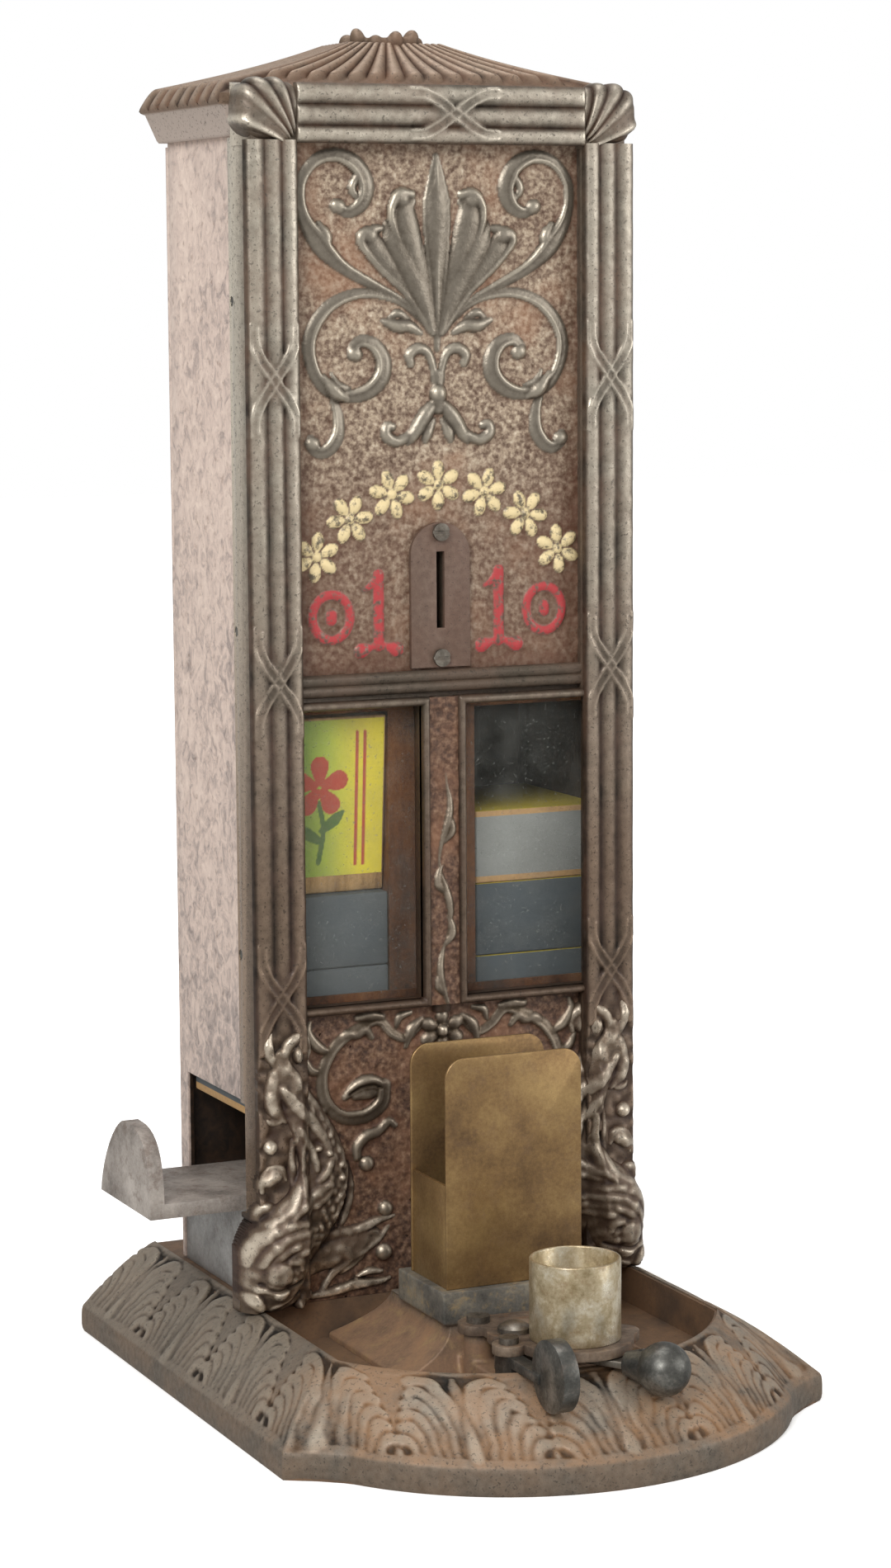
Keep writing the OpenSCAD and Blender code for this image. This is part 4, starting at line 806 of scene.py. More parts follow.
class VENDOR_OT_windows(bpy.types.Operator):
    """Cast the window mouldings and the pebbled mullion with its vine"""

    bl_idname = "vendor.windows"
    bl_label = "Window mouldings"

    def execute(self, context):
        half_wide, half_tall, middle_z, wide = 17.25, 36.9, 133.4, 2.1
        sides = (("window_moulding_left", -42.6, -3.9), ("window_moulding_right", 3.9, 42.6))
        for name, low, high in sides:
            relief = Relief((low, 94.4), (high, 172.4), FINE_PITCH)
            across = np.maximum(np.abs(relief.X - (low + high) / 2) - half_wide,
                                np.abs(relief.Z - middle_z) - half_tall)
            relief.h = 1.5 * np.sqrt(np.clip(1 - ((across - wide / 2) / 1.1) ** 2, 0, 1))
            out = (across[:-1, :-1] + across[1:, 1:]) / 2
            values = {"wear_and_light": relief.wear_and_light(1.2, 0.35) - 0.08}
            piece = front_sheet(name, relief, 15.0, (out > 0.0) & (out < wide), 16.2, values)
            settle(piece, ROOT, "tower", angle=70)
        relief = Relief((-4.4, 94.6), (4.4, 172.2), FINE_PITCH)
        heights = np.arange(95, 150, 2.6)
        vine = [(1.5 * math.sin(z / 4.4), z, 0.8 + 0.35 * math.sin(z / 3.1)) for z in heights]
        relief.stroke(vine + [(0.4, 153, .3)], 0.95)
        for k, z in enumerate(np.arange(97, 146, 13.0)):
            s = 1 if k % 2 else -1
            relief.stroke([(0, z, .7), (s * 1.9, z + 2.4, 1.2), (s * 1.6, z + 5.4, .9),
                           (s * 0.4, z + 7, .3)], 0.9)
        # Painted shade beside the raised vine, and a little over the whole mullion
        near = blurred(relief.h, 1.2 / relief.pitch) * 0.5 + 0.25
        values = field_values(relief, relief.h, near)
        relief.h = blurred(np.maximum(relief.h, pebbles(relief, 3)), 0.7)
        piece = front_sheet("mullion_vine", relief, 14.9, None, 16.2, values)
        settle(piece, ROOT, "low_field", angle=70)
        return {"FINISHED"}


class VENDOR_OT_upper_relief(bpy.types.Operator):
    """Cast the upper field with its palmette, arch of rosettes and numerals"""

    bl_idname = "vendor.upper_relief"
    bl_label = "Upper relief"

    def execute(self, context):
        sizes = context.scene.vendor_sizes
        low, high = UPPER_FIELD
        relief = Relief((-FIELD_HALF, low), (FIELD_HALF, high), sizes.relief_pitch / MM)
        palmette(relief, sizes.ornament_rise)
        cream, red = np.zeros_like(relief.h), np.zeros_like(relief.h)
        arch_rosettes(relief, cream)
        numerals(relief, red)
        raised = np.maximum(relief.h, np.maximum(cream, red))
        edge = np.minimum(np.minimum(relief.X + FIELD_HALF, FIELD_HALF - relief.X),
                          np.minimum(relief.Z - low, high - relief.Z))
        # Painted shade beside the raised ornament and along the field's sunk edges, and the field made darker
        # towards its bottom
        darker_towards_bottom = 0.6 * np.clip((236 - relief.Z) / 26, 0, 1)
        near = blurred(raised, 1.5 / relief.pitch) * 0.7 + 0.9 * np.exp(-edge / 4) + darker_towards_bottom
        values = field_values(relief, raised, near, cream, red)
        relief.h = blurred(np.maximum(raised, pebbles(relief, 5)), 0.9)
        x = (relief.X[:-1, :-1] + relief.X[1:, 1:]) / 2
        z = (relief.Z[:-1, :-1] + relief.Z[1:, 1:]) / 2
        behind_coin_plate = (abs(x) < 6.6) & (z > 181) & (z < 209)
        piece = front_sheet("upper_relief", relief, sizes.field_y / MM, ~behind_coin_plate, values=values,
                            step=2)
        settle(piece, ROOT, "field", angle=70)
        return {"FINISHED"}


def lower_scrolls(relief, rise):
    """Scrolls, leaves, flower and berries below the windows."""
    relief.ribbon([(-5, 90.4, .9), (-9.6, 86.6, 1.2), (-13.6, 88, 1.3), (-17.4, 91.6, 1.4), (-22, 90.4, 1.5),
                   (-28.6, 86.6, 1.6), (-32.6, 80, 1.6), (-32.2, 72.8, 1.7), (-27.8, 68.1, 1.8),
                   (-21.6, 67.6, 2.0), (-17.0, 70.4, 2.2), (-16, 74.8, 2.0)], rise, 1, both=True)
    lines = [
        [(-26.7, 72.9, 1), (-23.9, 75.2, 1.8), (-20.6, 76.2, 2.2), (-17.2, 75.2, 1.6), (-16.6, 73.1, 1)],
        [(-23.9, 73, 1.2), (-20.6, 73.5, 1.8), (-17.7, 73.4, 1.2)],
        [(-28.1, 87.2, .9), (-26.1, 88.7, 1.4), (-23.3, 88.4, 1.3), (-21.1, 89.5, 1.4), (-19.3, 87.4, .8)],
        [(-23.6, 57.3, 1.2), (-23.4, 60.1, 1.5), (-21.1, 62.4, 1.6), (-17.8, 63.4, 1.4), (-15, 65.5, 1.2),
         (-13.2, 64.5, .9)],
        [(-21.2, 55.6, 2), (-21, 55.4, 2)],
        [(-30.6, 84.4, .8), (-34, 86.4, 1.5), (-36.4, 90, 1.2), (-36, 92.6, .6)],
        [(-33, 79.4, .7), (-35.8, 80.6, 1.2), (-37.4, 83.4, .7)],
        [(-31, 70.6, .7), (-34.2, 69.4, 1.3), (-36.4, 70.8, .8)],
        [(-16.4, 92.4, 1.0), (-19.6, 93, 1.6), (-23, 92.6, 1.0)],
        [(-10, 84.4, .8), (-8.6, 88.4, 1.5), (-5.6, 91, .8)],
        [(-12.6, 89.4, .6), (-11.6, 92, 1.2), (-8.6, 92.8, .7)],
        [(-4.4, 83.4, .7), (-6.4, 80.4, 1.2), (-6, 77, .6)],
        [(-16.1, 43.5, 2.0), (-15.9, 43.3, 2.0)],
        [(-16.7, 32.4, 2.2), (-16.5, 32.2, 2.2)],
    ]
    for line in lines:
        relief.stroke(line, rise, both=True)
    relief.groove([(-25.6, 73.6, .35), (-22.6, 75.2, .45), (-19.4, 75.6, .45), (-17, 74.6, .3)], 0.9,
                  both=True)
    for k in range(6):
        a = math.radians(90 + 60 * k)
        petal = [(0.9 * math.cos(a), 87.6 + 0.8 * math.sin(a), .9),
                 (4.4 * math.cos(a), 87.6 + 3.6 * math.sin(a), 1.9),
                 (5.8 * math.cos(a), 87.6 + 4.8 * math.sin(a), .7)]
        relief.stroke(petal, rise * 0.8)
    relief.stroke([(0, 87.8, 1.6), (0, 87.4, 1.6)], 1.5)


class VENDOR_OT_lower_relief(bpy.types.Operator):
    """Cast the lower field with its scrolls, flower and berries"""

    bl_idname = "vendor.lower_relief"
    bl_label = "Lower relief"

    def execute(self, context):
        sizes = context.scene.vendor_sizes
        low, high = LOWER_FIELD
        relief = Relief((-FIELD_HALF, low), (FIELD_HALF, high), sizes.relief_pitch / MM)
        lower_scrolls(relief, sizes.ornament_rise)
        # Painted shade beside the raised scrolls, leaves and flower
        near = blurred(relief.h, 1.5 / relief.pitch) * 0.7 + 0.1
        values = field_values(relief, relief.h, near)
        relief.h = blurred(np.maximum(relief.h, pebbles(relief, 9)), 0.7)
        piece = front_sheet("lower_relief", relief, sizes.field_y / MM, values=values)
        settle(piece, ROOT, "low_field", angle=70)
        return {"FINISHED"}


def dolphin(relief):
    """A scaled dolphin, head down at the tower's foot, its tail up the column and a leaf under its chin."""
    relief.stroke([(-45.6, 86, 2.0), (-45.2, 82, 3.0), (-43.2, 77.6, 4.2), (-39.4, 71, 5.2),
                   (-36.2, 64.4, 6.2), (-34.2, 57.6, 7.2), (-35, 51, 8.2), (-38.6, 45, 9.0),
                   (-43.4, 40, 9.8), (-46.6, 36, 9.6), (-48.8, 31, 7.8), (-51, 27.4, 5.4)], 0.6)
    detail = np.zeros_like(relief.h)
    work = (
        [(-55.4, 34.4, .8), (-54.4, 37.9, 1.1), (-51.7, 41.5, 1.3), (-46.7, 43.8, 1.2), (-41.1, 44.3, .8)],
        [(-52.9, 34.4, .7), (-51.1, 37.7, 1.1), (-47.8, 40.2, 1.3), (-42.8, 41.7, 1.2), (-37.2, 41.5, .7)],
        [(-50.3, 35.1, .6), (-47.5, 37.7, 1), (-43.3, 39.5, 1.1), (-38.9, 39.7, 1), (-35, 38.9, .6)],
        [(-46.1, 35.6, .5), (-42.8, 37.4, .9), (-38.9, 37.9, .9), (-35.6, 37.4, .5)],
        [(-45.6, 35.4, .9), (-43.3, 35.1, 1), (-42.8, 33.3, .7)],
        [(-55, 24.1, 2.5), (-54.2, 23.2, 2.3)],
        [(-53.3, 28.2, .8), (-50.6, 28.5, 1.1), (-47.5, 27.5, 1.4)],
        [(-48.1, 27.2, 1.5), (-47.9, 27, 1.5)],
        [(-48.9, 22.4, 1.1), (-46.7, 23.1, 1), (-42.8, 24.7, .9), (-41.4, 25.9, .5)],
        [(-40.8, 22.9, 1.2), (-38.9, 23.3, 1.5), (-37.2, 23.9, .9)],
        [(-44.6, 32.3, .7), (-44.4, 32.2, .7)],
        [(-44.8, 30.7, .7), (-44.7, 30.5, .7)],
        [(-42.8, 64.5, .7), (-43.2, 59.4, .9), (-42.8, 54.2, 1), (-43.6, 49.7, 1), (-46.1, 46.6, .9),
         (-50.6, 44.6, .8)],
        [(-40.3, 62.9, .6), (-40.8, 57.8, .8), (-40.6, 53.2, .9), (-41.4, 49.1, .9), (-44.4, 46.1, .8)],
        [(-41.1, 48.1, .7), (-38.3, 49.1, 1.1), (-35.6, 50.7, 1.2), (-32.8, 52.5, .6)],
        [(-40, 46.6, .6), (-36.7, 47.9, 1), (-33.9, 49.4, .9), (-32.2, 50.7, .5)],
        [(-35.6, 53.2, .6), (-33.3, 55.8, .9), (-31.7, 58.8, .6)],
        [(-46.1, 77.7, 1), (-42.8, 73.6, 1.3), (-38.3, 69.6, 1.4), (-35, 65.5, 1.2), (-32.8, 61.4, .8)],
        [(-41.7, 67.5, .6), (-39.4, 64.5, .9), (-37.2, 60.4, .9), (-36.1, 56.3, .7)],
        [(-26.7, 55.8, .8), (-25.8, 50.7, 1), (-26.4, 45.1, 1), (-28.3, 40.5, .8)],
        [(-30.6, 38.9, .5), (-30.3, 44, .6), (-29.2, 49.1, .6), (-29.4, 54.2, .6), (-31.7, 59.4, .5)],
    )
    for line in work:
        relief.stroke([(x, z, 1.3 * r) for x, z, r in line], 0.72, into=detail)
    relief.stroke([(-48.9, 32.3, 3.2), (-48.3, 32.1, 3.2)], 0.5, into=detail)
    for x, z in ((-35.6, 61.6), (-32.2, 64.5), (-32.8, 60.1), (-29.4, 56.8), (-29.2, 53.5), (-28.1, 50.9),
                 (-30, 49.1), (-29, 46.6), (-30.6, 44)):
        relief.stroke([(x, z, .9), (x + .1, z, .9)], 1.3, into=detail)
    for k, z in enumerate(np.arange(41.5, 72, 2.1)):
        inner = np.interp(z, (41, 50, 55, 61, 66, 70, 76), (-36, -35, -33, -31.4, -34, -37, -40.6))
        outer = np.interp(z, (41, 49, 57.5, 67, 74, 80), (-28.6, -26.6, -27.4, -31.8, -36.8, -41.4))
        count = max(1, int((outer - inner) / 2.2))
        for j in range(count):
            x = inner + (outer - inner) * (j + 0.3 + 0.4 * (k % 2)) / count
            relief.stroke([(x - .3, z + 1.2, .4), (x, z, .8), (x + .2, z - .9, .3)], 0.8, into=detail)
    relief.h += detail
    leaves = (
        [(-47.5, 81.3, 1.6), (-48.1, 76.7, 2), (-47.5, 72.6, 1.8), (-45, 69.6, .8)],
        [(-45.8, 78.2, .9), (-43.9, 77.2, 1.2), (-41.7, 78.5, 1)],
        [(-45.6, 70.6, .8), (-46.9, 69.6, 1), (-48.9, 69.6, .8), (-50, 70.6, .5)],
        [(-49, 63.5, 1.6), (-48.8, 63.3, 1.6)],
        [(-49.7, 54.8, 1.4), (-48.1, 56.2, 1.9)],
        [(-51.1, 52.2, .7), (-51.1, 54.8, 1), (-48.9, 57.6, 1.2), (-46.1, 57.3, 1.1), (-44.9, 54.8, .7)],
        [(-52.5, 45.6, .9), (-51.4, 47.6, 1.4), (-48.9, 47.9, 1.3), (-47.5, 46.6, .7)],
        [(-44.4, 82.8, 1), (-44.7, 86.4, 1.3), (-43.3, 88.9, 1.4), (-40.6, 90.1, 1.4), (-37.8, 88.9, 1.3),
         (-36.7, 86.4, 1), (-36.9, 84.1, .7)],
        [(-40.2, 86.1, 2.2), (-39.8, 86, 2.2)],
        [(-47.6, 84, 1.0), (-49.2, 88, 1.3), (-48.6, 92, .8)],
        [(-40.3, 30.8, 1.4), (-38.1, 34.4, 1.6), (-34.4, 37.2, 1.4), (-29.4, 38.4, 1.3), (-23.9, 38.7, 1.2),
         (-18.3, 40.5, 1), (-13.6, 41.2, .5)],
        [(-33.3, 24.4, .8), (-30.8, 28, 1), (-26.7, 31, 1.1), (-21.7, 33.6, 1), (-17.8, 36.1, .9),
         (-15, 38.7, .5)],
        [(-28.3, 28.2, .6), (-25, 30.3, .9), (-22.2, 31.8, .6)],
        [(-21.1, 33.8, .6), (-19.7, 35.9, .9), (-18.1, 37.2, .5)],
        [(-36.1, 23, .8), (-30.6, 23.6, 1.1), (-23.9, 24.7, 1.2), (-18.3, 24.7, .9), (-15, 25.2, .5)],
        [(-23.9, 26.7, .6), (-20.6, 27.7, .9), (-17.2, 27.2, .6)],
    )
    relief.stroke([(-38.3, 30.3, 2.6), (-34.4, 32.6, 3.6), (-29.4, 33.8, 3.9), (-23.9, 35.2, 3.0),
                   (-18.9, 37.2, 1.7)], 0.45)
    for line in leaves:
        relief.stroke([(x, z, 1.2 * r) for x, z, r in line], 0.85)
    relief.groove([(-52.6, 29.6, .5), (-49.6, 28, .6), (-45.4, 28.6, .5), (-42, 29.6, .4)], 1.2)


class VENDOR_OT_dolphins(bpy.types.Operator):
    """Cast the dolphin at each lower corner of the tower"""

    bl_idname = "vendor.dolphins"
    bl_label = "Dolphins"

    def execute(self, context):
        sizes = context.scene.vendor_sizes
        field = sizes.field_y / MM
        relief = Relief((-56.4, 21.7), (-11, 94), FINE_PITCH)
        dolphin(relief)
        relief.h = blurred(relief.h + pebbles(relief, 11, 0.7, 0.6) * (relief.h > 0.6), 0.6)
        wear_and_light = relief.wear_and_light(1.3, 0.6)
        lift = 4.8 * np.clip((-relief.X - 38.2) / 3, 0, 1)
        corner = 5.0 * np.clip((-relief.X - 49.5) / 6.5, 0, 1) ** 2
        for side in (1, -1):
            y = field - relief.h - lift + corner
            front = np.stack([side * relief.X, y, relief.Z], -1)
            over = (relief.X < -50.4) & (relief.Z > 46)
            back = np.stack([side * relief.X, np.where(over, y + 1.5, field + 2.5), relief.Z], -1)
            name = "dolphin_left" if side > 0 else "dolphin_right"
            piece = closed_sheet(name, front, back, relief.raised(0.25), {"wear_and_light": wear_and_light}, turn=side < 0)
            settle(piece, ROOT, "dolphin", angle=75)
        return {"FINISHED"}


def crossed_ribbon(relief, x, z, half, tall, turned=False):
    """Two flat ribbons crossed over a bundle of reeds, each with raised edges."""
    steps = ((-1, -1.0), (-.7, -.94), (-.35, -.55), (0, 0), (.35, .55), (.7, .94), (1, 1.0))
    for s in (-1, 1):
        line = []
        for share, bend in steps:
            if turned:
                line.append((x + half * share, z + s * tall * bend, 1.5))
            else:
                line.append((x + half * bend, z + s * tall * share, 1.5))
        relief.stroke([point + (0.85,) for point in line], 0.12)
        for edge in (-0.72, 0.72):
            side, _ = relief.beside(line, edge)
            relief.stroke(np.column_stack([side, np.full(len(side), 0.42), np.full(len(side), 0.95)]), 0.9)


class VENDOR_OT_columns(bpy.types.Operator):
    """Cast the reeded columns and the top rail, with crossed ribbons"""

    bl_idname = "vendor.columns"
    bl_label = "Columns and rail"

    def execute(self, context):
        front_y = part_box("front_casting")[0].y / MM + 0.75
        for side in (-1, 1):
            inner, outer = side * 38.5, side * 51.9
            relief = Relief((min(inner, outer), 24.0), (max(inner, outer), 308.2), REED_PITCH)
            for middle, half in ((40.6, 2.0), (44.9, 2.3), (49.5, 2.4)):
                relief.reed(relief.X - side * middle, half)
            foot = np.clip((94 - relief.Z) / 5, 0, 1)
            relief.h = relief.h * (1 - foot) + foot * (0.1 + pebbles(relief, 17, 0.8, 0.9))
            for z in (251, 178, 100):
                crossed_ribbon(relief, side * 45.2, z, 5.6, 12.5)
            self.cast("column_left" if side < 0 else "column_right", relief, front_y)
        relief = Relief((-38.6, 307.6), (38.6, 321.8), REED_PITCH)
        for middle, half in ((309.7, 1.9), (314.2, 2.4), (319.2, 2.4)):
            relief.reed(relief.Z - middle, half)
        crossed_ribbon(relief, 3.0, 314.8, 11.5, 5.0, turned=True)
        self.cast("top_rail", relief, front_y)
        return {"FINISHED"}

    def cast(self, name, relief, face):
        """Wears a relief a little and closes it behind its face."""
        edge = np.minimum(relief.X - relief.x[0], relief.x[-1] - relief.X)
        relief.h = np.minimum(relief.h, 0.3 + 2.0 * edge)
        relief.h = blurred(relief.h + pebbles(relief, 19, 1.6, 0.16), 0.6)
        piece = front_sheet(name, relief, face, None, face + 1.6,
                            {"wear_and_light": np.clip(relief.wear_and_light(1.6, 0.85) + 0.06, 0, 1)})
        settle(piece, ROOT, "tower", angle=70)


class VENDOR_OT_corner_leaves(bpy.types.Operator):
    """Wrap an acanthus leaf over each upper corner of the tower"""

    bl_idname = "vendor.corner_leaves"
    bl_label = "Corner leaves"

    def execute(self, context):
        casting_low, casting_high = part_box("front_casting")
        for side in (-1, 1):
            bpy.ops.object.select_all(action="DESELECT")
            bpy.ops.mesh.primitive_cube_add(size=2)
            piece = context.object
            piece.name = "corner_leaf_left" if side < 0 else "corner_leaf_right"
            edit(piece, ("subdivide", {"number_cuts": 71}))
            cube = points_of(piece)
            ball = cube * ((np.abs(cube) ** 3.0).sum(1) ** (-1 / 3.0))[:, None]
            outward, up = side * ball[:, 0], ball[:, 2]
            angle = np.arctan2(up + 1.1, outward + 1.05)
            leaf = np.clip((angle - 0.62) / 0.1, 0, 1)
            ribs = np.abs(np.sin((angle - 0.62) / 0.95 * 4 * math.pi)) ** 0.7
            collar = np.exp(-((angle - 0.42) / 0.05) ** 2)
            neck = np.clip((0.36 - angle) / 0.1, 0, 1)
            front = np.clip(1.3 - ball[:, 1] * 1.2, 0, 1)
            rise = leaf * 0.12 * (ribs - 0.45) + 0.07 * collar - 0.13 * neck + 0.04 * (1 - leaf)
            shaped = ball * (1 + rise * front)[:, None]
            wide, tall, ahead, behind = 7.6, 7.9, 5.8, 6.9
            deep = np.where(ball[:, 1] > 0, behind, ahead)
            size = np.column_stack([np.full_like(deep, wide), deep, np.full_like(deep, tall)])
            centre = np.array([side * 45.4, casting_low.y / MM + 4.9, casting_high.z / MM - 7.2])
            move_points(piece, shaped * size + centre)
            wear_and_light = 0.45 + leaf * (0.8 * ribs - 0.6) + 0.4 * collar - 0.15 * neck
            write_value(piece.data, "wear_and_light", np.clip(wear_and_light, 0, 1))
            piece.data.update()
            settle(piece, ROOT, "tower", angle=70)
        return {"FINISHED"}


def fluted_ring(half_x, front, back, counts):
    """Points round a rectangle from its right front corner, each with its flute height and side."""
    corners = np.array([(half_x, front), (-half_x, front), (-half_x, back), (half_x, back)])
    points, waves, sides = [], [], []
    for k, count in enumerate(counts):
        steps = count * FLUTE_POINTS
        share = np.arange(steps) / steps
        points.append(corners[k] + (corners[(k + 1) % 4] - corners[k]) * share[:, None])
        waves.append(np.abs(np.sin(math.pi * count * share)))
        sides.append(np.full(steps, k))
    return np.vstack(points), np.concatenate(waves), np.concatenate(sides)


class VENDOR_OT_roof(bpy.types.Operator):
    """Cast the fluted roof with its gadrooned eaves and the crown of knobs"""

    bl_idname = "vendor.roof"
    bl_label = "Roof"

    def execute(self, context):
        sizes = context.scene.vendor_sizes
        counts = (sizes.front_flutes, sizes.side_flutes) * 2
        low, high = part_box("roof")
        crown_low, crown_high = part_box("roof_crown")
        front, bottom = low.y / MM, low.z / MM
        side_x, back_y, top = high.x / MM, high.y / MM, high.z / MM
        middle = (crown_low.y + crown_high.y) / 2 / MM
        eave_top, eave_low = 319.5, 317.0
        eave, wave, side = fluted_ring(side_x, front, back_y, counts)
        seat, _, _ = fluted_ring(12.8, middle - 8.8, middle + 8.8, counts)
        wave = wave ** 0.6
        rows, wear_and_light, paint = [], [], []
        for s in np.concatenate([np.linspace(0, 0.9, 52), np.linspace(0.915, 1.0, 12)]):
            end = np.where(side == 0, 0.62 + 0.07 * wave, 2.0)
            leaf = np.clip((end - s) / 0.035, 0, 1) ** 0.5
            lip = np.where(side == 0, 0.0, np.clip((s - 0.93) / 0.07, 0, 1) ** 1.6)
            ridge = ((0.4 + 2.0 * s) * wave + 0.4 * s) * leaf
            lift = ridge * (1 - lip) - 2.2 * lip * (1 - 0.8 * wave) + 2.2 * (1 - s) ** 3
            rows.append(np.column_stack([eave * s + seat * (1 - s), top - (top - eave_top) * s + lift]))
            wear_and_light.append(np.clip(0.02 + 0.8 * wave ** 2 * leaf + 0.3 * (1 - leaf), 0, 1))
            paint.append(np.zeros(len(wave)))
        skirt = (
            (side_x, back_y, eave_low + 0.6),
            (side_x - 0.3, back_y - 0.3, eave_low),
            (side_x - 1.2, back_y - 1.2, eave_low - 0.5),
            (51.5, 73.8, bottom + 0.6),
            (51.1, 73.4, bottom),
            (49.65, 71.65, bottom),
            (49.65, 71.65, bottom + 6.5),
        )
        for k, (half_x, back, z) in enumerate(skirt):
            ring, _, _ = fluted_ring(half_x, front + (0.1 if k > 4 else 0.0), back, counts)
            rows.append(np.column_stack([ring, np.full(len(ring), z)]))
            wear_and_light.append(np.full(len(ring), 0.5 if k < 2 else 0.42))
            paint.append(np.full(len(ring), 1.0 if k > 1 else 0.0))
        parts = [np.array(part) for part in (rows, wear_and_light, paint)]
        piece = self.shell("roof_fluted", *[np.concatenate([part, part[:, :1]], axis=1) for part in parts])
        settle(piece, ROOT, "roof", ("roof",), angle=60)
        self.crown(context, middle, top)
        return {"FINISHED"}

    def shell(self, name, points, wear_and_light, paint):
        """A tube of rings, merged at its seam and capped at both ends."""
        rows, cols = points.shape[:2]
        ids = np.arange(rows * cols).reshape(rows, cols)
        faces = np.stack([ids[:-1, :-1], ids[1:, :-1], ids[1:, 1:], ids[:-1, 1:]], -1).reshape(-1, 4)
        mesh = bpy.data.meshes.new(name)
        mesh.from_pydata((points.reshape(-1, 3) * MM).tolist(), [], faces.tolist())
        write_value(mesh, "wear_and_light", wear_and_light)
        write_value(mesh, "paint", paint)
        piece = new_piece(name, mesh)
        edit(piece, ("remove_doubles", {"threshold": 0.002 * MM}), ("select_all", {"action": "DESELECT"}),
             ("select_non_manifold", {}), ("edge_face_add", {}), ("select_all", {"action": "SELECT"}),
             ("normals_make_consistent", {"inside": False}))
        return piece

    def crown(self, context, middle, top):
        """A worn ring of cast knobs, fused into the seat."""
        bpy.ops.object.select_all(action="DESELECT")
        place = (0.0, middle * MM, (top + 1.4) * MM)
        bpy.ops.mesh.primitive_cylinder_add(vertices=64, radius=8.6 * MM, depth=5 * MM, location=place)
        ring = context.object
        ring.name = "crown_knobs"
        parts = [ring]
        knobs = 11
        for k in range(knobs):
            a = 2 * math.pi * (k + 0.35) / knobs
            tall = 3.1 + 0.5 * math.sin(k * 2.3 + 0.6)
            place = (8.8 * MM * math.cos(a), (middle + 7.4 * math.sin(a)) * MM, (top + tall - 0.7) * MM)
            bpy.ops.mesh.primitive_uv_sphere_add(segments=28, ring_count=18, radius=1.0, location=place)
            knob = context.object
            knob.scale = ((2.1 + 0.3 * math.sin(k * 1.7)) * MM, 2.1 * MM, tall * MM)
            knob.rotation_euler = (0, 0.35, a)
            parts.append(knob)
        bpy.ops.object.select_all(action="DESELECT")
        for part in parts:
            part.select_set(True)
        context.view_layer.objects.active = ring
        bpy.ops.object.transform_apply(location=True, rotation=True, scale=True)
        bpy.ops.object.join()
        apply_modifier(ring, "REMESH", mode="VOXEL", voxel_size=0.35 * MM)
        apply_modifier(ring, "SMOOTH", iterations=4)
        write_value(ring.data, "wear_and_light", np.clip(0.05 + 0.1 * (points_of(ring)[:, 2] - top), 0, 0.9))
        settle(ring, ROOT, "roof", ("roof_crown",), angle=60)


PLUMES = ((0, 1), (.06, 0), (.12, 1), (.185, 0), (.25, 1), (.315, 0), (.38, 1), (.44, 0))


def plume_surface(width, length):
    """One half motif of the border, from 0 in the grooves to 1 on the backs of its dart and plumes.

    The plumes rise from the rim side by side and curl over towards the motif's middle to round tips.
    Above the tips lies a plain fillet.
    """
    tile = Relief((0, 0), (width / 2, length), PLUME_PITCH)
    wide = np.array((width / DRAWN_MOTIF, 1))
    partings = wide * np.array((
        [(1.3, 2.6), (1.4, 13), (2.0, 21), (4.4, 26.0), (9.0, 27.4), (13.2, 26.0)],
        [(3.2, 2.6), (3.6, 11), (4.6, 17.4), (7.0, 21.9), (10.4, 23.2), (13.0, 22.0)],
        [(5.7, 2.6), (6.2, 9.2), (7.2, 14.2), (9.4, 18.2), (12.4, 19.2), (14.6, 18.2)],
        [(8.2, 2.6), (8.7, 7.8), (9.9, 11.8), (12.0, 14.8), (14.4, 15.4), (16.2, 14.5)],
        [(10.7, 2.6), (11.2, 6.3), (12.2, 9), (13.9, 11.2), (15.8, 11.8), (17.2, 11.2)],
        [(13.3, 2.6), (13.7, 4.8), (14.4, 6.4), (15.5, 7.6), (16.7, 8.2), (18.0, 7.9)],
        [(16.2, 2.6), (16.5, 3.2), (16.9, 3.8), (17.5, 4.3), (18.3, 4.6), (19.2, 4.4)],
    ))
    for near, far in zip(partings[:-1], partings[1:]):
        half = np.hypot(*(far - near).T) / 2
        tile.stroke(np.column_stack([(near + far) / 2, half]), 0.62)
    tile.stroke([(0, 2.2, 2.1), (0, 9, 1.5), (0, 18, 1.3), (0, 26.5, 1.0)], 0.6)
    tile.stroke([(width / 2, 2.6, 1.5), (width / 2, 3.4, 1.3)], 0.6)
    tips = np.array(((0, 27.2), (9, 27.4), (13.2, 25.6), (15, 20.6), (16.6, 16.4), (17.8, 12.6),
                     (19.75, 7.4)))
    over = np.clip((tile.Z - np.interp(tile.X, tips[:, 0] * wide[0], tips[:, 1])) / 1.4, 0, 1)
    under = np.clip((3.0 - tile.Z) / 1.0, 0, 1)
    tile.h = np.clip(np.maximum(blurred(tile.h, 0.8), 0.72 * np.maximum(over, under)), 0, 1)
    return tile


def border_outline():
    """Outer and inner edge of the base's border, from the right back corner round to the left one."""
    def half(side_x, corner_y, bend, radius, apex, chord):
        """One side, its rounded corner and half of the bow, which has its middle at apex."""
        a = math.asin(chord / radius)
        side = np.column_stack([np.full(SIDE_POINTS, side_x),
                                np.linspace(90, corner_y, SIDE_POINTS, endpoint=False)])
        first = np.array([side_x, corner_y])
        last = np.array([chord, radius - apex - radius * math.cos(a)])
        t = np.linspace(0, 1, CORNER_POINTS, endpoint=False)[:, None]
        corner = (1 - t) ** 2 * first + 2 * t * (1 - t) * np.array(bend) + t ** 2 * last
        turn = a * (1 - np.linspace(0, 1, BOW_POINTS))
        bow = np.column_stack([radius * np.sin(turn), radius - apex - radius * np.cos(turn)])
        return np.vstack([side, corner, bow])
    outer = half(71.5, -49.5, (64.6, -52.6), 70, 90, 58.5)
    inner = half(51, -28.1, (50.9, -31.0), 58, 64.5, 51)
    return [np.vstack([line, line[-2::-1] * (-1, 1)]) for line in (outer, inner)]


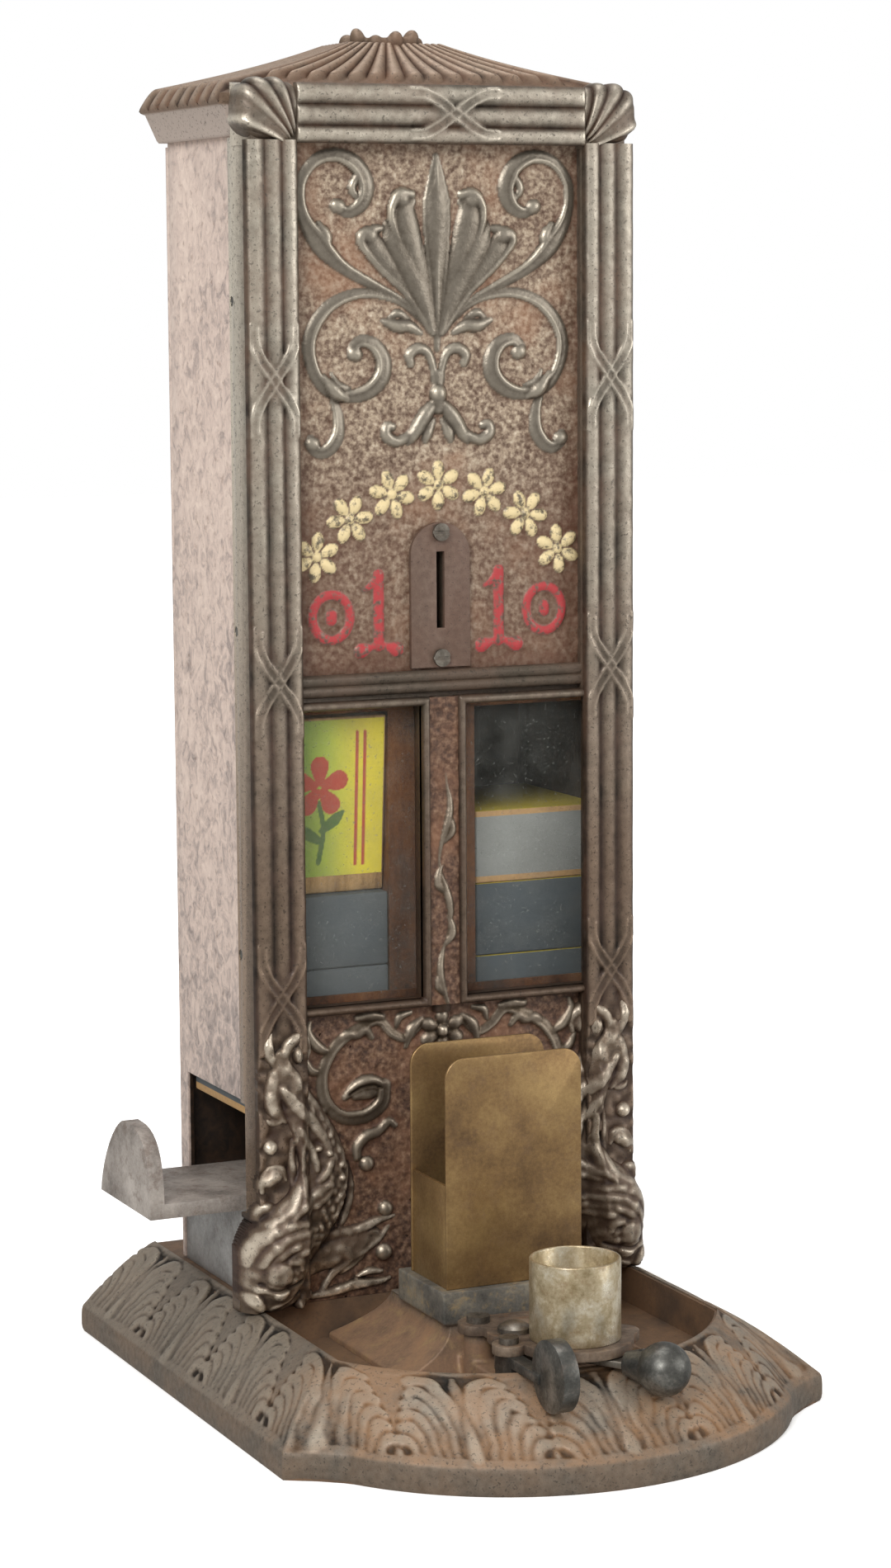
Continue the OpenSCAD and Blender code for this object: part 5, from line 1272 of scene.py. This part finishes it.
class VENDOR_OT_base_border(bpy.types.Operator):
    """Cast the base's rim and its leaf border"""

    bl_idname = "vendor.base_border"
    bl_label = "Base border"

    def execute(self, context):
        sizes = context.scene.vendor_sizes
        motif, carving = sizes.motif / MM, sizes.border_carving / MM
        outer, inner = border_outline()
        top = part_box("base_tray")[1].z / MM
        rim, length, run, thick = 6.5, 29.6, 25.6, 2.0
        # The motifs along the border, each from one dart to the next
        middle = (outer + inner) / 2
        along = np.concatenate([[0], np.cumsum(np.hypot(*np.diff(middle, axis=0).T))])
        total, corner = along[-1], along[SIDE_POINTS + CORNER_POINTS // 2]
        front_cell = (total - 2 * corner) / 4
        darts = np.concatenate([corner - motif * np.arange(5, 0, -1), corner + front_cell * np.arange(5),
                                total - corner + motif * np.arange(1, 6)])
        cell = np.clip(np.searchsorted(darts, along, side="right") - 1, 0, len(darts) - 2)
        width = darts[cell + 1] - darts[cell]
        share = (along - darts[cell]) / width
        share = np.minimum(share, 1 - share)
        tiles = {w: plume_surface(w, length) for w in (motif, front_cell)}
        on_front = np.abs(width - front_cell) < 0.01
        places = np.array([p for p, _ in PLUMES] + [0.5])
        ends = {0: .84, .12: .78, .25: .66, .38: .52}
        # A slight unevenness, as of carving by hand
        drift = blurred(np.random.default_rng(23).normal(size=(SLOPE_ROWS, len(along))), 5.0)
        drift *= 0.3 / drift.std()
        # The rows of points: where each lies on the slope, how far it stands off, and its place on a plume
        rows, lifts, faces = [], [], []
        for z, lift in RIM:
            rows.append((0.0, z))
            lifts.append(np.full(len(along), lift))
            faces.append(np.full(len(along), 0.6))
        for k, t in enumerate(np.linspace(0.012, 1.0, SLOPE_ROWS)):
            lean = 3.2 * min(1.0, t / 0.7) ** 2
            plain = share / (1 + lean / width)
            tall = [ridge * np.clip((ends.get(p, 0) - t) / 0.12 + 0.5, 0, 1) for p, ridge in PLUMES] + [0.0]
            level = np.sin(np.interp(plain, places, tall) * math.pi / 2)
            sunk = carving * np.clip(t / 0.1, 0, 1) * np.clip((0.94 - t) / 0.08, 0, 1) * (1 - level)
            face = np.ones(len(along))
            for w, tile in tiles.items():
                row = np.clip((t * length + drift[-1 - k]) / tile.pitch, 0, len(tile.z) - 1).astype(int)
                column = np.clip((share * width + drift[k]) / tile.pitch, 0, len(tile.x) - 1).astype(int)
                face = np.where(on_front == (w == front_cell), tile.h[row, column], face)
            rows.append((t, rim + (top - rim) * (1 - (1 - t) ** 1.3)))
            lifts.append(0.06 + 0.52 * face - 0.4 * (1 - face) * np.clip((sunk - 0.4) / 0.3, 0, 1))
            faces.append(face)
        # The sheet, standing off the slope in front and sunk into it behind
        t, z = np.array(rows).T
        lift = np.array(lifts)
        lift[len(RIM):] = np.minimum(blurred(lift[len(RIM):], 0.6), 0.62)
        face = blurred(np.array(faces), 0.6)
        out = outer - inner
        out /= np.hypot(*out.T)[:, None]
        tilt = np.arctan2(np.gradient(z), np.maximum(np.gradient(t * run), 1e-4))[:, None]
        flat = outer[None] * (1 - t[:, None, None]) + inner[None] * t[:, None, None]
        front, back = [np.dstack([flat[..., 0] + out[:, 0] * np.sin(tilt) * rise,
                                  flat[..., 1] + out[:, 1] * np.sin(tilt) * rise,
                                  np.broadcast_to(z[:, None] + np.cos(tilt) * rise, lift.shape)])
                       for rise in (lift, -thick)]
        back[..., 2] = np.maximum(back[..., 2], 0.05)
        # The bow is worn and dusty, the sides are plainer
        slope = (t > 0)[:, None]
        bow = np.clip((-middle[:, 1] - 5) / 45, 0, 1)
        shade = bow * (0.6 * face ** 1.3 - 0.01) + (1 - bow) * (0.34 * face + 0.24)
        wear_and_light = np.where(slope, np.clip(shade + 0.7 * (lift - blurred(lift, 4.0)), 0, 1), 0.34)
        dust = np.where(slope, np.maximum(bow, 0.15) * (0.25 + 0.75 * face), 0.25)
        piece = closed_sheet("base_border", front, back, None, {"wear_and_light": wear_and_light, "dust": dust}, step=6)
        edit(piece, ("normals_make_consistent", {"inside": False}))
        settle(piece, ROOT, "border", angle=60)
        return {"FINISHED"}


class VENDOR_OT_slides(bpy.types.Operator):
    """Finish the two box slides with rounded edges"""

    bl_idname = "vendor.slides"
    bl_label = "Slides"

    def execute(self, context):
        for node in ("left_slide", "right_slide"):
            softened(node, 0.8, node, "slide", 3)
        return {"FINISHED"}


class VENDOR_OT_stock(bpy.types.Operator):
    """Pack the columns with match boxes and paste the label on the box behind the left window"""

    bl_idname = "vendor.stock"
    bl_label = "Stock"

    def execute(self, context):
        softened("left_stack", 0.5, ROOT, "stock")
        softened("right_stack", 0.5, ROOT, "right_stock")
        softened("right_pocket_box", 0.5, "right_slide", "stock")
        softened("left_label_box", 0.5, ROOT, "veneer")
        low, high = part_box("left_label_box")
        lean, long, left = math.radians(4), 44.5, low.x / MM
        relief = Relief((left + 0.6, 4.4), (high.x / MM - 0.6, long - 0.6), FINE_PITCH)
        red, leaf = np.zeros_like(relief.h), np.zeros_like(relief.h)
        x, s = left + 17.6, 27.0
        for k in range(5):
            a = math.radians(90 + 72 * k)
            relief.stroke([(x + 1.6 * math.cos(a), s + 1.6 * math.sin(a), 1.2),
                           (x + 5.4 * math.cos(a), s + 5.4 * math.sin(a), 2.5)], 1.0, into=red)
        relief.stroke([(x, s - 4, .7), (x + 1.2, s - 11, .7), (x, s - 19, .7)], 1.0, into=leaf)
        relief.stroke([(x + .8, s - 11, .8), (x + 4, s - 8.6, 1.5), (x + 6.4, s - 6.4, .5)], 1.0, into=leaf)
        relief.stroke([(x + .8, s - 14, .8), (x - 3, s - 11.6, 1.5), (x - 5.4, s - 9.4, .5)], 1.0, into=leaf)
        for rule in (left + 27.5, left + 29.6):
            relief.stroke([(rule, 7, .5), (rule, 22, .5), (rule, long - 4, .5)], 1.0, into=red)
        run = (relief.X - left) / (high.x - low.x) * MM
        foot_y = low.y / MM + long * math.sin(lean)
        y = foot_y - relief.Z * math.sin(lean) - 0.12
        z = low.z / MM + relief.Z * math.cos(lean)
        front = np.stack([relief.X, y, z], -1)
        back = front + np.array([0, 0.3, 0])
        values = {"run": run, "red": np.clip(red * 3, 0, 1), "leaf": np.clip(leaf * 3, 0, 1)}
        piece = closed_sheet("box_label", front, back, None, values)
        settle(piece, ROOT, "label")
        return {"FINISHED"}


def flared_pedestal():
    """The holder's pedestal, cast with a hollow flare on each flank down to its wide foot."""
    piece = new_piece("holder_pedestal_finished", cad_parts["holder_pedestal"].data.copy())
    edit(piece, ("remove_doubles", {"threshold": 0.01 * MM}))
    apply_modifier(piece, "REMESH", mode="VOXEL", voxel_size=0.4 * MM)
    low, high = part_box("holder_pedestal")
    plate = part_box("holder_front_plate")[1].x / MM
    points = points_of(piece)
    foot, neck = low.z / MM + 1.5, high.z / MM - 8.0
    up = np.clip((points[:, 2] - foot) / (neck - foot), 0, 1)
    beyond = np.abs(points[:, 0]) - plate
    hollow = np.clip((1 - up) ** 2.1 / np.maximum(1 - up, 1e-3), 0, 1)
    drawn = np.where((beyond > 0) & (points[:, 2] < neck), beyond * hollow, beyond)
    points[:, 0] = np.sign(points[:, 0]) * (plate + drawn)
    move_points(piece, points)
    apply_modifier(piece, "SMOOTH", iterations=3)
    return settle(piece, ROOT, "pedestal", ("holder_pedestal",), angle=60)


class VENDOR_OT_holder(bpy.types.Operator):
    """Finish the brass box holder and its pedestal"""

    bl_idname = "vendor.holder"
    bl_label = "Box holder"

    def execute(self, context):
        softened("holder_front_plate", 0.3, ROOT, "brass")
        softened("holder_rear_plate", 0.3, ROOT, "brass")
        softened("holder_cradle", 0.2, ROOT, "brass")
        softened("holder_screws", 0.3, ROOT, "lock")
        flared_pedestal()
        return {"FINISHED"}


class VENDOR_OT_cutter(bpy.types.Operator):
    """Finish the cigar cutter: cup, table, blade, lever and finger rest"""

    bl_idname = "vendor.cutter"
    bl_label = "Cigar cutter"

    def execute(self, context):
        softened("cutter_table", 0.5, ROOT, "table")
        softened("cutter_cup", 0.3, ROOT, "nickel")
        softened("cutter_blade", 0.3, "cutter", "steel")
        softened("cutter_lever", 0.3, "cutter", "dark")
        softened("finger_rest", 0.9, ROOT, "dark")
        return {"FINISHED"}


class VENDOR_OT_castings(bpy.types.Operator):
    """Finish the remaining castings, sheets and fastenings"""

    bl_idname = "vendor.castings"
    bl_label = "Castings and sheets"

    def execute(self, context):
        tower = softened("front_casting", 0.35, ROOT, "tower", shape=tucked_corners)
        points = points_of(tower)
        # Painted light: the casting's side flanks are lightened against the shade they stand in, and a bright
        # line along their back edge is worn metal with a painted highlight
        lightened_flank_x, highlight_edge_y = 50.9, 20.5
        flank, lip = np.abs(points[:, 0]) > lightened_flank_x, points[:, 1] > highlight_edge_y
        write_value(tower.data, "wear_and_light", np.where(flank, np.where(lip, 1.0, 0.66), 0.4))
        softened("slide_housing", 0.6, ROOT, "housing")
        softened("left_panel", 0.25, ROOT, "sheet")
        softened("right_panel", 0.25, ROOT, "sheet")
        softened("coin_plate", 0.5, ROOT, "plate")
        softened("rear_door", 0.3, "door", "sheet")
        plain = {
            "base": ("base_tray",),
            "dark": ("base_bolts", "panel_rivets", "roof_screws", "divider_screws", "door_hinges",
                     "pedestal_screws"),
            "steel": ("slide_stop_pins", "coin_plate_screws", "coin_latch", "latch_pin", "hinge_pins",
                      "lock_cam", "table_screws", "grip_pin", "pivot_screw", "cutter_spring", "rest_screw"),
            "rust": ("glass_retainers", "stack_divider", "coin_chute", "cash_box"),
            "glass": ("left_glass", "right_glass"),
            "lock": ("lock_barrel", "lock_plug"),
        }
        for finish, nodes in plain.items():
            for node in nodes:
                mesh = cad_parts[node].data
                mesh.materials.clear()
                mesh.materials.append(FINISH[finish])
        return {"FINISHED"}


class VENDOR_OT_stage(bpy.types.Operator):
    """Set the floor, the soft studio light and the camera"""

    bl_idname = "vendor.stage"
    bl_label = "Studio"

    def execute(self, context):
        stage = context.scene.vendor_stage
        self.camera(context)
        self.world(context)
        bpy.ops.object.select_all(action="DESELECT")
        bpy.ops.mesh.primitive_plane_add(size=8.0)
        floor = context.object
        floor.name = "floor"
        material, tree, output, place = new_material("studio_paper")
        path = add(tree, "LightPath")
        seen = maths(tree, "MAXIMUM", path.outputs["Is Glossy Ray"], path.outputs["Is Transmission Ray"])
        away = add(tree, "VectorMath", {"Vector": place}, operation="LENGTH").outputs["Value"]
        fade = spread(tree, away, low=0.12, high=0.7, least=0.36)
        white = maths(tree, "MULTIPLY", fade, path.outputs["Is Camera Ray"])
        paper = add(tree, "BsdfDiffuse", {"Color": tuple(stage.floor_colour) + (1.0,)})
        bright = add(tree, "Emission", {"Color": "#ffffff", "Strength": white})
        lit = add(tree, "AddShader", {0: paper.outputs[0], 1: bright.outputs[0]})
        glow = add(tree, "Emission", {"Color": "#f6f5f3", "Strength": 0.55})
        blend = add(tree, "MixShader", {0: seen, 1: lit.outputs[0], 2: glow.outputs[0]})
        tree.links.new(blend.outputs[0], output.inputs["Surface"])
        floor.data.materials.append(material)
        self.lamp("key", (-0.95, -0.95, 1.05), 0.9, stage.key_power)
        self.lamp("fill", (1.1, -0.9, 0.55), 1.0, stage.fill_power)
        self.lamp("top", (0.0, 0.2, 1.5), 1.0, stage.fill_power)
        context.scene.view_settings.view_transform = "Standard"
        return {"FINISHED"}

    def lamp(self, name, place, size, power):
        """A round lamp that looks at the machine's middle."""
        data = bpy.data.lights.new(name, "AREA")
        data.shape = "DISK"
        data.size = size
        data.energy = power
        lamp = new_piece(name, data)
        lamp.location = place
        lamp.rotation_euler = (Vector((0, 0.01, 0.16)) - Vector(place)).to_track_quat("-Z", "Y").to_euler()

    def camera(self, context):
        """The photo's view."""
        data = bpy.data.cameras.new("photo_view")
        data.sensor_fit = "VERTICAL"
        data.sensor_height = 36.0
        data.lens = 85.38
        camera = new_piece("photo_view", data)
        azimuth, pitch, roll = math.radians(24.63), math.radians(7.51), math.radians(-0.38)
        ahead = Vector((math.sin(azimuth) * math.cos(pitch), math.cos(azimuth) * math.cos(pitch),
                        -math.sin(pitch)))
        right = Vector((math.cos(azimuth), -math.sin(azimuth), 0.0))
        up = right.cross(ahead)
        right, up = right * math.cos(roll) + up * math.sin(roll), up * math.cos(roll) - right * math.sin(roll)
        turn = Matrix((right, up, -ahead)).transposed().to_4x4()
        camera.matrix_world = Matrix.Translation((-0.3826, -0.8206, 0.2715)) @ turn
        context.scene.camera = camera

    def world(self, context):
        """White to the camera and through the glass, and a dimmer white light on everything else."""
        world = bpy.data.worlds.new("studio")
        context.scene.world = world
        world.use_nodes = True
        tree = world.node_tree
        tree.nodes.clear()
        path = add(tree, "LightPath")
        seen = maths(tree, "MAXIMUM", path.outputs["Is Camera Ray"], path.outputs["Is Transmission Ray"])
        light = add(tree, "Background", {"Color": "#ffffff", "Strength": spread(tree, seen, least=0.42)})
        output = add(tree, "OutputWorld")
        tree.links.new(light.outputs[0], output.inputs["Surface"])


class VENDOR_PT_panel(bpy.types.Panel):
    """The vendor's pieces in the sidebar"""

    bl_label = "Match Vendor"
    bl_space_type = "VIEW_3D"
    bl_region_type = "UI"
    bl_category = "Match Vendor"

    def draw(self, context):
        for name in ("field_y", "ornament_rise", "relief_pitch", "front_flutes", "side_flutes", "motif",
                     "border_carving"):
            self.layout.prop(context.scene.vendor_sizes, name)
        for name in ("floor_colour", "key_power", "fill_power"):
            self.layout.prop(context.scene.vendor_stage, name)
        for step in STEPS:
            self.layout.operator(step.bl_idname)


STEPS = (
    VENDOR_OT_stage, VENDOR_OT_castings, VENDOR_OT_upper_relief, VENDOR_OT_lower_relief, VENDOR_OT_dolphins,
    VENDOR_OT_columns, VENDOR_OT_windows, VENDOR_OT_corner_leaves, VENDOR_OT_roof, VENDOR_OT_base_border,
    VENDOR_OT_slides, VENDOR_OT_stock, VENDOR_OT_holder, VENDOR_OT_cutter,
)
CLASSES = (VendorSizes, VendorStage) + STEPS + (VENDOR_PT_panel,)


def register():
    for item in CLASSES:
        bpy.utils.register_class(item)
    bpy.types.Scene.vendor_sizes = bpy.props.PointerProperty(type=VendorSizes)
    bpy.types.Scene.vendor_stage = bpy.props.PointerProperty(type=VendorStage)


def unregister():
    del bpy.types.Scene.vendor_stage
    del bpy.types.Scene.vendor_sizes
    for item in reversed(CLASSES):
        bpy.utils.unregister_class(item)


def main():
    register()
    make_finishes()
    for step in STEPS:
        group, name = step.bl_idname.split(".")
        getattr(getattr(bpy.ops, group), name)()


if __name__ == "__main__":
    main()
